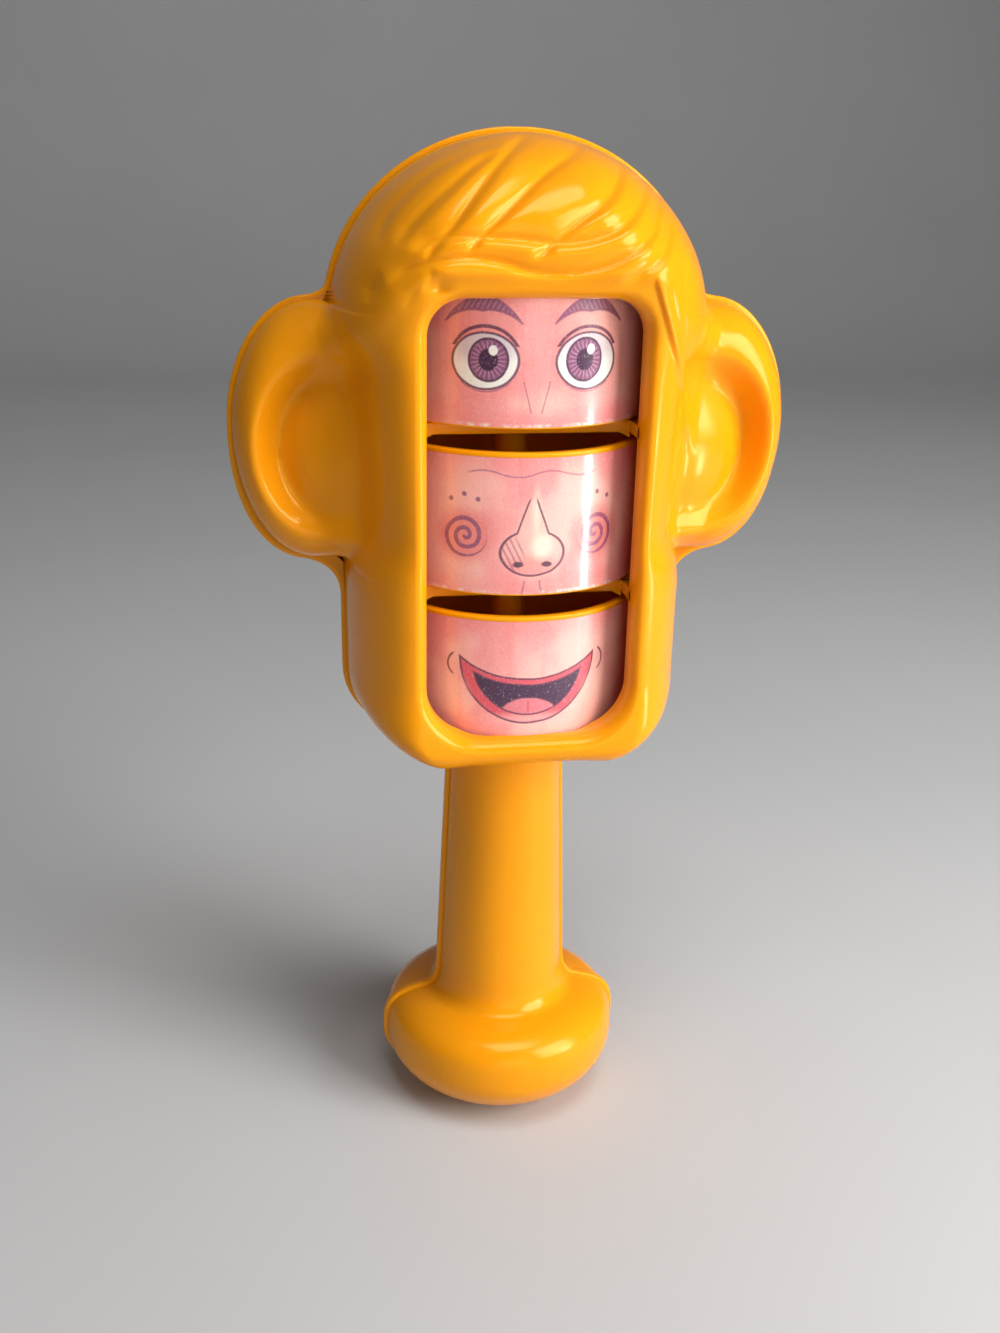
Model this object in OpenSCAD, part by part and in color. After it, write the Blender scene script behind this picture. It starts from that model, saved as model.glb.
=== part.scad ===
// Face puzzle rattle: a two-half moulded head on a round handle and foot. Three
// printed drums turn on one axle behind a tall window, so that eyes, nose and
// mouth can be mixed. Loose pellets in the hollow foot make the rattle.
// Millimetres. The drum axle is the Z axis, the table is z = 0, the face looks to -Y.

/* [Whole rattle] */
// Thickness of the moulded walls
wall = 1.8; // [1.5:0.1:2]
// How far the rear half's rim stands out beyond the front half
rim_step = 0.8; // [0.4:0.1:1]
// Width of the rim, half of it on each side of the axle plane
rim_w = 1.8; // [1.2:0.2:2.4]

/* [Head] */
// Half width of the lower head
head_half = 31.8; // [31:0.2:34]
// Half width at the temples, where the dome begins
temple_half = 33.8; // [33:0.2:35.4]
// Height at which the dome begins
temple_z = 160.2; // [159:0.2:162]
// Height of the dome, from the temples to the crown
dome_h = 31.4; // [29:0.2:33]
// Underside of the head, at the neck
head_z = 81.5; // [80.5:0.1:82]
// Radius of the lower corners of the seam
jaw_r = 13.5; // [12:0.5:14]
// Radius of the lower corners of the face
corner_r = 18.5; // [16:0.5:22]
// Depth of the face plane in front of the axle
face_depth = 25.6; // [25.2:0.1:27]
// Depth of the rolled lip under the window
lip_depth = 27.2; // [27:0.1:28]
// Depth of the brow over the window
brow_depth = 28; // [27.8:0.1:29.5]
// Room between the drums and the back of the head
back_room = 1; // [0.8:0.1:3]
// Half width of the flat part of the face
face_flat = 19.1; // [18.8:0.1:20.5]

/* [Ears] */
// Half width over the ears
ear_half = 51.2; // [49:0.2:53]
// Height of the middle of the ears
ear_z = 141; // [139:0.5:142]
// How far the ears reach above their middle
ear_up = 22.8; // [21:0.2:23]
// How far the ears reach below their middle
ear_down = 24.6; // [23:0.2:25]
// Distance of the ears' centre from the axle
ear_root = 36.2; // [35.8:0.1:37.5]
// Height of the ear rim in front of the seam
ear_rim = 9.5; // [8:0.5:11]
// Depth of the C-shaped trough inside the ear rim
ear_trough = 5; // [3:0.5:6]

/* [Window] */
// Width of the face window
window_w = 36.2; // [34:0.2:37]
// Lower edge of the window
window_z0 = 89.3; // [89:0.1:91]
// Upper edge of the window
window_z1 = 165.8; // [164.5:0.1:166.5]
// Radius of the upper window corners
window_r1 = 6; // [4:0.5:8]
// Radius of the lower window corners
window_r0 = 9.5; // [6:0.5:11]

/* [Drums] */
// Outer radius of the labelled drums
drum_r = 24.2; // [23.5:0.1:24.3]
// Height of one drum
drum_h = 25; // [24:0.2:25.2]
// Distance from one drum to the next
drum_pitch = 29; // [28.8:0.1:29.2]
// Underside of the mouth drum
drum_z = 86.7; // [86.6:0.1:87]
// Wall of a drum
drum_wall = 1.4; // [1.2:0.1:1.8]
// Thickness of a printed label
label_t = 0.2; // [0.15:0.05:0.3]
// Height of a drum's hub
hub_h = 16; // [12:0.5:18]
// Radius of the axle
axle_r = 3; // [2.6:0.1:3.2]
// Thickness of the shelves between the drums
shelf_t = 2; // [1.6:0.1:2.2]
// How far the shelves reach in front of the axle
shelf_front = 16; // [12:0.5:16.5]

/* [Handle and foot] */
// Radius of the handle under the head
handle_top_r = 11.6; // [11:0.1:12.5]
// Radius of the handle over the foot
handle_low_r = 13.4; // [12.6:0.1:14]
// Radius of the foot
foot_r = 24.8; // [23:0.2:27]
// Half height of the foot's rounded form
foot_half_h = 14.4; // [14:0.2:15]
// Height of the foot's widest part
foot_mid_z = 12; // [11.6:0.1:12.6]

/* [Pellets] */
// Radius of a rattle pellet
pellet_r = 1.75; // [1.5:0.05:1.8]
// Pellets in the outer ring
pellet_count = 12; // [9:1:12]

/* [Hidden] */

// Clearances and small sizes
run_fit = 0.08;     // axle in a drum's bore, on the radius
seat_fit = 0.05;    // axle and pegs in the housing, on the radius
drum_float = 0.3;   // drum above its shelf
sweep_gap = 0.5;    // housing round the turning drums
cut = 0.01;         // lets a cutter pass a face
seam_y = -rim_w / 2;
label_lip = 0.8;    // bare rim over a label
label_foot = 0.3;   // bare edge under a label
hub_r = 5;
web_t = 1.6;
axle_head_r = 5;
axle_head_t = 1.4;
axle_tail = 1;
shelf_back = 6;     // how far the front half's shelves reach behind the axle
peg_r = 1.5;
boss_r = 3.2;
peg_len = 4;
bulkhead_z = 31;
flange_t = 1.8;
flange_back = 21.4;
arm_len = flange_back - shelf_front + 2;
shelf_gap = 0.4;    // eyes drum below the top shelf
shelf_half = 22;    // half width of the shelves behind the seam
pellet_ring = 8;

// Heights and depths along the body
neck_len = 2.6;
handle_z0 = 31;
jaw_rise = 0.2;
jaw_swell = 5;      // how much deeper the jaw is than the neck
lip_z = head_z + 5.5;
overall_h = temple_z + dome_h;
brow_z = temple_z - 2.2;
dome_z0 = temple_z + 6.6;
hair_z = temple_z + 11.8;
back_depth = drum_r + back_room + wall;
last_dome_angle = 87;
flat_share = 0.3;   // share of a row's points over the flat face
side_share = 0.62;  // share of a row's points as far as the side of the head
rear_flat = 0.6;    // flat part of the back of the head, as a share of the face's
rear_corner = 0.6;  // roundness of the back's lower corners, as a share of the face's
least_rise = 0.1;   // a skin next to its edge
cap_share = 0.96;   // ends of the flat foot and of the crown, as a share of their width
ear_crest = 0.62;   // where the crest of the ear's rim runs, as a share of the ear
ear_dip = 3;        // how far the head's sides draw in between the ears
ear_round = 9;      // rounding between the head's side and the ear cup
rear_round = 4;     // the same behind
lobe_round = 8;     // the same on the lobe, and at the lobe's outer edge
lobe_edge = 2;
trough_x = ear_root - 2.2;
trough_z = ear_z - 2.5;
trough_a = 13.4;
trough_b = 17;
trough_side = 0.44;  // width of the trough's side, as a share of the trough
lobe_x = ear_root - 5.2;
lobe_z = ear_z - 4;
lobe_a = 11.4;
lobe_b = 16.5;
lobe_depth = 9.6;

// Pegs of the front half that sit in the back half, as [x, z]
pegs = [[-ear_root - 4.8, ear_z], [ear_root + 4.8, ear_z], [0, 56], [0, overall_h - 10.6]];

// Hair: how far it stands over the face, and the grooves between the strands.
// Each groove is a line of [x, z] points on the front of the head.
hair_raise = 0.9;
groove_depth = 0.9;
groove_w = 1.3;
grooves = [
    [[-1.7, 190], [-12, 180.6], [-18, 172.7], [-20, 169]],
    [[7.3, 188.6], [-1.2, 183.7], [-10, 175.4], [-14.2, 171.6]],
    [[14.6, 185], [9.6, 181], [2, 175.2], [-4, 171.6]],
    [[20.5, 183], [13.5, 178.6], [5.7, 175.3]],
    [[-2.8, 189.5], [-10, 186.7], [-17.6, 183.5], [-23, 180]],
    [[-4.4, 188], [-13, 183.7], [-20, 177.4], [-24, 172]],
    [[-22, 173], [-16.6, 174.3], [-8.5, 175], [1, 174.6], [7.3, 175.3], [12.7, 178.3]],
    [[-21, 170.8], [-13, 171.7], [-3.7, 170], [4.3, 170.3], [12.7, 173], [19, 176.8]],
    [[27, 178], [24, 172], [22.6, 166]],
    [[24, 180], [22, 177], [17.7, 171.7]]
];

// Small helpers
function clamp(v, lo, hi) = min(hi, max(lo, v));
function smooth(v) = let (s = clamp(v, 0, 1)) s * s * (3 - 2 * s);
function mix(a, b, s) = a + (b - a) * s;
function curve(a, b, c, s) = (1 - s) * (1 - s) * a + 2 * s * (1 - s) * b + s * s * c;
function soft_max(a, b, k) = (a + b + sqrt((a - b) * (a - b) + k * k)) / 2;
function to_segment(p, a, b) = let (ab = b - a, s = clamp((p - a) * ab / (ab * ab), 0, 1))
    norm(p - a - ab * s);
function to_line(p, pts) = min([for (i = [1:len(pts) - 1]) to_segment(p, pts[i - 1], pts[i])]);

// Outline of the body, as rows from the foot to the top of the dome. Each row is
// [half width, height]. t draws the outline in, and q sets how many rows there are.
function skin_t(t) = max(0, t - rim_step);
function floor_z(t) = skin_t(t);
function handle_r(z) = mix(handle_low_r, handle_top_r, (z - handle_z0) / (head_z - neck_len - handle_z0));
function foot_row(t, a) = [(foot_r - t) * cos(a), foot_mid_z + (foot_half_h - t) * sin(a)];
function foot_start(t) = asin(clamp((floor_z(t) - foot_mid_z) / (foot_half_h - t), -0.98, 0));
function foot_rows(t, q) = let (a0 = foot_start(t), n = round(7 * q))
    [for (i = [0:n]) foot_row(t, mix(a0, 45, i / n))];
function ankle_rows(t) = let (a = foot_row(t, 45), c = [handle_r(handle_z0) - t, handle_z0], b = [c[0], 25])
    [for (s = [0.25, 0.5, 0.75]) curve(a, b, c, s)];
function handle_rows(t, q) = let (n = round(3 * q), z1 = head_z - neck_len + t / 2)
    [for (i = [0:n]) let (z = mix(handle_z0, z1, i / n)) [handle_r(z) - t, z]];
function neck_rows(t) = [
    [handle_top_r + 0.8 - t, head_z - 0.9 + 0.9 * t],
    [handle_top_r + 2.8 - t, head_z + t]
];
function jaw_rows(t, q) = let (n = round(5 * q), c = [head_half - jaw_r, head_z + jaw_rise + jaw_r])
    [for (i = [0:n]) let (a = mix(-90, 0, i / n)) c + (jaw_r - t) * [cos(a), sin(a)]];
function cheek_rows(t, q) = let (n = round(5 * q), z0 = head_z + jaw_rise + jaw_r, z1 = ear_z - ear_down - 7)
    [for (i = [1:n]) [head_half - t, mix(z0, z1, i / n)]];
function ear_low(t, a) = [ear_root + (ear_half - ear_root - t) * pow(cos(a), 0.89),
    ear_z - (ear_down - t) * pow(sin(a), 0.89)];
function ear_high(t, a) = [ear_root + (ear_half - ear_root - t) * cos(a), ear_z + (ear_up - t) * sin(a)];
function under_ear_rows(t) = let (a = [head_half - t, ear_z - ear_down - 6.9], c = ear_low(t, 80),
    b = [head_half + 0.4 - t, ear_z - ear_down - 0.7 + t]) [for (s = [0.3, 0.55, 0.8]) curve(a, b, c, s)];
function ear_rows(t, q) = let (n = round(8 * q)) concat(
    [for (i = [0:n]) ear_low(t, mix(80, 0, i / n))], [for (i = [1:n]) ear_high(t, mix(0, 88, i / n))]);
function over_ear_rows(t) = let (z = ear_z + ear_up) [
    [ear_root - 1.8 - 0.7 * t, z + 0.3 - 0.6 * t],
    [ear_root - 2.7 - t, z + 1.4 - 0.2 * t]
];
function dome_rows(t, q) = let (n = round(18 * q), a0 = asin((dome_z0 - temple_z) / dome_h))
    [for (i = [0:n]) let (a = mix(a0, last_dome_angle, i / n))
        [(temple_half - t) * cos(a), temple_z + (dome_h - t) * sin(a)]];
function body_rows(t, q) = concat(foot_rows(t, q), ankle_rows(t), handle_rows(t, q), neck_rows(t),
    jaw_rows(t, q), cheek_rows(t, q), under_ear_rows(t), ear_rows(t, q), over_ear_rows(t), dome_rows(t, q));

// Depth of the body in front of or behind the seam. Under the neck it is round.
// Above it, a flat face turns into quarter-ellipse sides, and the ears stand beside it.
function head_side(z, t) = z > temple_z
    ? (temple_half - t) * sqrt(clamp(1 - pow((z - temple_z) / (dome_h - t), 2), 0.0001, 1))
    : mix(head_half, temple_half, smooth((z - 110) / 50)) - t
        - ear_dip * smooth((z - 114) / 12) * smooth((temple_z - z) / 8);
function corner(x) = corner_r - sqrt(pow(corner_r, 2) - pow(clamp(x - head_half + corner_r, 0, corner_r), 2));
function lip_rise(z, t, rise) = let (low = clamp((lip_z + rise - z) / (lip_z - head_z - skin_t(t)), 0, 1))
    sqrt(1 - low * low);
function jaw_depth(x) = handle_top_r + jaw_swell * smooth((x - 8) / 10);
function crown(z, t) = sqrt(clamp(1 - pow((z - hair_z) / (overall_h + 0.3 - hair_z - t), 2), 0.0025, 1));
function brow_line(z) = mix(face_depth, brow_depth, smooth((z - brow_z) / (hair_z - brow_z)));
function face_line(z) = mix(lip_depth, brow_line(z), smooth((z - lip_z) / 12));
function front_depth(x, z, t) = z > hair_z ? (brow_depth - skin_t(t)) * crown(z, t)
    : mix(jaw_depth(x), face_line(z), lip_rise(z, t, corner(x))) - skin_t(t);
function rear_depth(x, z, t) = z > hair_z ? (back_depth - skin_t(t)) * crown(z, t)
    : mix(jaw_depth(x), back_depth, lip_rise(z, t, rear_corner * corner(x))) - skin_t(t);
function flat_at(z, side) = mix(face_flat, face_flat / 3, smooth((z - temple_z) / (dome_h - 5)))
    * min(1, side / (head_half - 1.8));
function section(x, flat, side) = sqrt(clamp(1 - pow(max(0, x - flat) / (side - flat), 2), 0, 1));
function ear_share(x, z, t) = norm([max(0, x - ear_root) / (ear_half - ear_root - t),
    (z - ear_z) / ((z > ear_z ? ear_up : ear_down) - t)]);
function ear_fall(e) = sqrt(1 - pow(clamp((e - ear_crest) / (1 - ear_crest), 0, 1), 2));
function trough_share(x, z) = norm([max(0, x - trough_x) / trough_a, (z - trough_z) / trough_b]);
function ear_front(x, z, t) = (ear_rim - skin_t(t)) * ear_fall(ear_share(x, z, t))
    - ear_trough * smooth((1 - trough_share(x, z)) / trough_side);
function ear_rear(x, z, t) = (ear_rim - skin_t(t)) * sqrt(1 - pow(min(1, ear_share(x, z, t)), 4));
function lobe_share(x, z, t) = norm([max(0, x - lobe_x) / (lobe_a - skin_t(t) / 2), (z - lobe_z) / lobe_b]);
function lobe(x, z, t) = (lobe_depth - skin_t(t)) * sqrt(1 - pow(min(1, lobe_share(x, z, t)), 2));
function hair_line(x) = window_z1 + 2 - max(0, abs(x) - 18) * (x > 0 ? 2.4 : 1.4);
function hair(x, z) = hair_raise * smooth((z - hair_line(x)) / 2.5) * smooth((overall_h - z) / 6)
    - (z < window_z1 ? 0 : groove_depth * smooth((overall_h - z) / 5)
        * exp(-pow(min([for (g = grooves) to_line([x, z], g)]) / groove_w, 2)));
function ear_blend(x) = smooth((x - 22) / 9);
function lobe_blend(x) = mix(lobe_round, lobe_edge, smooth((x - lobe_x) / 6)) * ear_blend(x);
function joined(a, b, k) = soft_max(a, b, k * clamp(b / 3, 0, 1));
function past_side(x, side) = 2 * max(0, x - side);
function front_form(x, z, t, w) = z < head_z + t / 2 ? sqrt(max(0, w * w - x * x))
    : let (s = abs(x), side = min(w, head_side(z, t)),
        head = front_depth(s, z, t) * section(s, flat_at(z, side), side) - past_side(s, side))
        joined(joined(head, ear_front(s, z, t), ear_round * ear_blend(s)), lobe(s, z, t), lobe_blend(s))
        + (t > rim_step ? 0 : hair(x, z) * clamp(head / 6, 0, 1));
function rear_form(x, z, t, w) = z < head_z + t / 2 ? sqrt(max(0, w * w - x * x))
    : let (s = abs(x), side = min(w, head_side(z, t)))
        joined(rear_depth(s, z, t) * section(s, rear_flat * flat_at(z, side), side) - past_side(s, side),
            ear_rear(s, z, t), rear_round * ear_blend(s));

// Places of a row's points from the middle outwards, as many on every row: a share over
// the flat face, a share over the side of the head, and the rest over the ear
function column(k, n, w, z, t) = let (even = k / n, side = min(w, head_side(z, t)), flat = flat_at(z, side),
    beyond = (even - side_share) / (1 - side_share),
    turn = mix(mix(flat, side, 0.75), side, clamp((w - side) / 8, 0, 1)))
    z < head_z + t / 2 ? w * sin(90 * even)
    : even < flat_share ? flat * even / flat_share
    : even < side_share ? mix(flat, turn, (even - flat_share) / (side_share - flat_share))
    : mix(turn, w, mix(beyond, sin(90 * beyond), 0.6));
function row_x(k, n, w, z, t) = sign(k) * column(abs(k), n, w, z, t);
function cap(r, n, y) = [for (k = [-n:n]) [r[0] * cap_share * k / n, y, r[1]]];
function skin_row(r, n, t, front, y) = [for (k = [-n:n])
    let (x = row_x(k, n, r[0], r[1], t),
        d = front ? front_form(x, r[1], t, r[0]) : rear_form(x, r[1], t, r[0]),
        rise = abs(k) == n ? 0 : max(least_rise, d - abs(y)))
        [x, front ? y - rise : y + rise, r[1]]];
function skin(rows, n, t, front, y) = concat([cap(rows[0], n, y)],
    [for (r = rows) skin_row(r, n, t, front, y)], [cap(rows[len(rows) - 1], n, y)]);

// The edge of a skin, once round: up the left, over the top, down the right, back along the foot
function edge(s) = let (m = len(s) - 1, n = len(s[0]) - 1) concat(
    [for (i = [0:m]) s[i][0]], [for (k = [1:n]) s[m][k]],
    [for (i = [1:m]) s[m - i][n]], [for (k = [1:n - 1]) s[0][n - k]]);
function level(points, y) = [for (p = points) [p[0], y, p[2]]];
function level_on_floor(points, y, floor_y) = [for (p = points) [p[0], p[2] < cut ? floor_y : y, p[2]]];
function flat_list(s) = [for (r = s) for (p = r) p];
function edge_ids(m, n) = concat([for (i = [0:m]) i * (n + 1)], [for (k = [1:n]) m * (n + 1) + k],
    [for (i = [1:m]) (m - i) * (n + 1) + n], [for (k = [1:n - 1]) n - k]);
function quad(a, b, c, d, flip) = flip ? [[a, c, b], [a, d, c]] : [[a, b, c], [a, c, d]];
function cells(m, n, first, flip) = [for (i = [0:m - 1]) for (k = [0:n - 1])
    let (a = first + i * (n + 1) + k, b = a + 1, c = a + n + 2, d = a + n + 1,
        turned = (k >= n / 2) != (i >= m / 2))
        for (f = turned ? quad(b, c, d, a, flip) : quad(a, b, c, d, flip)) f];
function strip(a, b, flip) = [for (i = [0:len(a) - 1]) let (j = (i + 1) % len(a))
    for (f = quad(a[i], a[j], b[j], b[i], flip)) f];

// A closed moulded half: outer skin, rings round its edge, and inner skin
module moulding(outer, rings, inner, front) {
    m = len(outer) - 1;
    n = len(outer[0]) - 1;
    size = (m + 1) * (n + 1);
    ring_len = 2 * (m + n);
    loops = concat([edge_ids(m, n)],
        [for (r = [0:1:len(rings) - 1]) [for (i = [0:ring_len - 1]) 2 * size + r * ring_len + i]],
        [[for (e = edge_ids(m, n)) size + e]]);
    polyhedron(concat(flat_list(outer), flat_list(inner), flat_list(rings)),
        concat(cells(m, n, 0, front), cells(m, n, size, !front),
            [for (i = [0:len(loops) - 2]) for (f = strip(loops[i], loops[i + 1], front)) f]), convexity = 10);
}

// Height of a drum's underside, and the top faces of the four shelves round the drums
function drum_floor(i) = drum_z + i * drum_pitch;
function shelf_top(i) = i < 3 ? drum_floor(i) - drum_float : drum_floor(2) + drum_h + shelf_gap + shelf_t;

// Middle of the wall, where shelves and ribs are rooted
mid_wall = rim_step + wall / 2;
function jaw_side(z, t) = let (centre = head_z + jaw_rise + jaw_r)
    head_half - jaw_r + sqrt(max(0, pow(jaw_r - t, 2) - pow(max(0, centre - z), 2)));
function side_at(z, t) = min(jaw_side(z, t), head_side(z, t));
function shelf_side(z) = min(side_at(z, mid_wall), side_at(z + shelf_t, mid_wall));
function mid_front(x, z, side) = front_depth(x, z, mid_wall) * section(x, flat_at(z, side), side);
function mid_rear(x, z, side) = rear_depth(x, z, mid_wall) * section(x, rear_flat * flat_at(z, side), side);
function front_wall_at(x, z) = front_form(x, z, rim_step, handle_r(z) - rim_step) - wall / 2;
function rear_wall_at(x, z) = rear_form(x, z, rim_step, handle_r(z) - rim_step) - wall / 2;
function round_peg(p) = [for (a = [0:90:270]) p + boss_r * [cos(a), sin(a)]];
function front_boss(p) = min([for (r = round_peg(p)) front_wall_at(r[0], r[1])]);
function rear_boss(p) = min([for (r = round_peg(p)) rear_wall_at(r[0], r[1])]);

module window_outline(grow) {
    mid_z0 = window_z0 + window_r0;
    mid_z1 = window_z1 - window_r1;
    translate([-window_w / 2 - grow, mid_z0]) square([window_w + 2 * grow, mid_z1 - mid_z0]);
    translate([-window_w / 2 + window_r0, window_z0 - grow])
        square([window_w - 2 * window_r0, window_r0 + grow + cut]);
    translate([-window_w / 2 + window_r1, mid_z1 - cut])
        square([window_w - 2 * window_r1, window_r1 + grow + cut]);
    for (sx = [-1, 1]) {
        translate([sx * (window_w / 2 - window_r0), mid_z0]) circle(r = window_r0 + grow, $fn = 64);
        translate([sx * (window_w / 2 - window_r1), mid_z1]) circle(r = window_r1 + grow, $fn = 64);
    }
}

// Raises an outline drawn in x and z from one depth to another, both in front of the axle
module through_front(back, front) {
    translate([0, -back, 0]) rotate([90, 0, 0]) linear_extrude(front - back) children();
}

// The wall that runs in from the window's edge towards the drums
module window_flanges() {
    through_front(flange_back, face_depth - wall / 3) difference() {
        window_outline(flange_t);
        window_outline(0);
    }
}

// Room for the drums to turn, one bay at a time
module drum_bays() {
    for (i = [0:2])
        translate([0, 0, shelf_top(i)])
            cylinder(r = drum_r + sweep_gap, h = shelf_top(i + 1) - shelf_t - shelf_top(i), $fn = 96);
}

module front_shelf(i) {
    z = shelf_top(i) - shelf_t;
    side = shelf_side(z);
    reach = max([for (x = [0:0.2:side]) if (mid_front(x, z, side) > shelf_front) x]);
    half = min(shelf_half, side_at(z - shelf_gap, rim_step + wall) - shelf_gap);
    translate([0, 0, z]) linear_extrude(shelf_t) {
        polygon([
            [-reach, -shelf_front], [reach, -shelf_front], [side, seam_y], [half, seam_y],
            [half - (i > 0 ? 0 : shelf_back), shelf_back], [-half + (i > 0 ? 0 : shelf_back), shelf_back],
            [-half, seam_y], [-side, seam_y]
        ]);
        if (i == 1 || i == 2)
            for (sx = [-1, 1])
                translate([sx * (window_w + flange_t) / 2, -shelf_front - arm_len / 2 + 1])
                    square([flange_t, arm_len], center = true);
    }
}

module rear_rib(i) {
    z = shelf_top(i) - shelf_t;
    side = shelf_side(z);
    reach = max([for (x = [0:0.2:side]) if (mid_rear(x, z, side) > shelf_back + 1) x]);
    translate([0, 0, z]) linear_extrude(shelf_t) {
        polygon(concat([[-reach, shelf_back], [reach, shelf_back]],
            [for (a = [1:-0.2:-1]) [reach * a, mid_rear(abs(reach * a), z, side)]]));
        translate([seat_fit - axle_r, axle_r + seat_fit])
            square([2 * (axle_r - seat_fit), shelf_back - axle_r]);
    }
}

module peg_place(p, y) {
    translate([p[0], y, p[1]]) rotate([-90, 0, 0]) children();
}

// The slot in which the axle lies, open to the rear
module axle_slot() {
    r = axle_r + seat_fit;
    h = shelf_top(3) - shelf_top(0) + shelf_t + 2;
    translate([0, 0, shelf_top(0) - shelf_t - 1]) {
        cylinder(r = r, h = h, $fn = 48);
        translate([-r, 0, 0]) cube([2 * r, shelf_back + 1, h]);
    }
}

module front_shell() {
    outer = body_rows(rim_step, 1);
    inner = body_rows(rim_step + wall, 1);
    color("orange") {
        difference() {
            moulding(skin(outer, 15, rim_step, true, seam_y), [],
                skin(inner, 15, rim_step + wall, true, seam_y), true);
            through_front(flange_back, brow_depth + 4) window_outline(0);
        }
        difference() {
            union() {
                window_flanges();
                for (i = [0:3]) front_shelf(i);
                for (p = pegs) peg_place(p, -front_boss(p)) {
                    cylinder(r = boss_r, h = front_boss(p) + seam_y, $fn = 48);
                    cylinder(r = peg_r, h = front_boss(p) + seam_y + peg_len, $fn = 32);
                }
                bulkhead(true);
            }
            drum_bays();
            axle_slot();
        }
    }
}

module back_shell() {
    rim = skin(body_rows(0, 0.7), 9, 0, false, 0);
    outer = skin(body_rows(rim_step, 0.7), 9, rim_step, false, -seam_y);
    inner = skin(body_rows(rim_step + wall, 0.7), 9, rim_step + wall, false, -seam_y);
    color("darkorange") {
        moulding(outer, [level_on_floor(edge(rim), -seam_y, -seam_y / 2), level(edge(rim), seam_y),
            level(edge(inner), seam_y)], inner, false);
        difference() {
            union() {
                for (i = [0:3]) rear_rib(i);
                for (p = pegs) peg_place(p, seam_y) cylinder(r = boss_r, h = rear_boss(p) - seam_y, $fn = 48);
                bulkhead(false);
            }
            for (p = pegs) peg_place(p, seam_y - cut)
                cylinder(r = peg_r + seat_fit, h = peg_len + 0.5, $fn = 32);
        }
    }
}

// A wall across the foot's neck that keeps the pellets in the foot
module bulkhead(front) {
    r = handle_r(bulkhead_z) - mid_wall;
    translate([0, 0, bulkhead_z]) intersection() {
        cylinder(r = r, h = wall, $fn = 64);
        translate([-r - 1, front ? -r - 1 : seam_y, -1])
            cube([2 * r + 2, front ? r + 1 + seam_y : r + 2, wall + 2]);
    }
}

module drum_axle() {
    low = shelf_top(0) - shelf_t - axle_tail;
    color("orange") {
        translate([0, 0, low]) cylinder(r = axle_r, h = shelf_top(3) - low + cut, $fn = 48);
        translate([0, 0, shelf_top(3)]) cylinder(r = axle_head_r, h = axle_head_t, $fn = 48);
    }
}

// An open-topped cup on a hub, with a thin bare rim over its label
module drum(i) {
    body_r = drum_r - label_t;
    color("orange") translate([0, 0, drum_floor(i)]) difference() {
        union() {
            difference() {
                union() {
                    cylinder(r = body_r, h = drum_h, $fn = 128);
                    translate([0, 0, drum_h - label_lip]) cylinder(r = drum_r, h = label_lip, $fn = 128);
                    cylinder(r = drum_r, h = label_foot, $fn = 128);
                }
                translate([0, 0, web_t]) cylinder(r = body_r - drum_wall, h = drum_h, $fn = 128);
            }
            cylinder(r = hub_r, h = hub_h, $fn = 64);
        }
        translate([0, 0, -1]) cylinder(r = axle_r + run_fit, h = drum_h + 2, $fn = 64);
    }
}

module label(i) {
    color("salmon") translate([0, 0, drum_floor(i) + label_foot]) difference() {
        cylinder(r = drum_r, h = drum_h - label_lip - label_foot, $fn = 128);
        translate([0, 0, -1]) cylinder(r = drum_r - label_t, h = drum_h, $fn = 128);
    }
}

module rattle_pellets() {
    color("ivory") translate([0, 0, wall + pellet_r + drum_float]) {
        sphere(r = pellet_r, $fn = 32);
        for (i = [1:6]) rotate(60 * i) translate([pellet_ring / 2, 0, 0]) sphere(r = pellet_r, $fn = 32);
        for (i = [1:pellet_count]) rotate(360 / pellet_count * i)
            translate([pellet_ring, 0, 0]) sphere(r = pellet_r, $fn = 32);
    }
}

front_shell();
back_shell();
drum_axle();
drum(2);  // eyes_drum
drum(1);  // nose_drum
drum(0);  // mouth_drum
label(2);  // eyes_label
label(1);  // nose_label
label(0);  // mouth_label
rattle_pellets();
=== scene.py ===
# Face puzzle rattle: a glossy yellow two-half head on a handle, with three printed
# drums that turn behind a window. All lengths in the shapes below are millimetres.
import math

import bmesh
import bpy
import numpy as np
from mathutils import Matrix


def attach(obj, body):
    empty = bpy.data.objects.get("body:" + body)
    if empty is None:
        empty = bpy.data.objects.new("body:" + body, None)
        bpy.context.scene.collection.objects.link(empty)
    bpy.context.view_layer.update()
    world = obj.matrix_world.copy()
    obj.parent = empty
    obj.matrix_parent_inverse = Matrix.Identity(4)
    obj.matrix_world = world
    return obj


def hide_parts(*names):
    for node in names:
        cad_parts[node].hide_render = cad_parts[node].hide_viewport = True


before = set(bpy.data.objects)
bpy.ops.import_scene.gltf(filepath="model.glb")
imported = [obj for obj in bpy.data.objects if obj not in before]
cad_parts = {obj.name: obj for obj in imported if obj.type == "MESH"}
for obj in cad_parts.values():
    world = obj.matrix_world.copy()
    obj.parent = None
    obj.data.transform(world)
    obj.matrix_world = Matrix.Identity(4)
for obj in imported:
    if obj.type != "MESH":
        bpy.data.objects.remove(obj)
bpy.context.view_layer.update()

# Sizes, most of them as in the CAD source
OVERALL_H, WALL, RIM_STEP, RIM_W = 191.6, 1.8, 0.8, 1.8
HEAD_HALF, TEMPLE_HALF, TEMPLE_Z, HEAD_Z, JAW_R, CORNER_R = 31.8, 33.8, 160.2, 81.5, 13.5, 18.5
FACE_DEPTH, LIP_DEPTH, BROW_DEPTH, BACK_DEPTH, FACE_FLAT = 25.6, 27.2, 28.0, 27.0, 19.1
EAR_HALF, EAR_Z, EAR_UP, EAR_DOWN, EAR_ROOT = 51.2, 141.0, 22.8, 24.6, 36.2
EAR_RIM, EAR_TROUGH, EAR_CREST = 9.5, 5.0, 0.62
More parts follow.
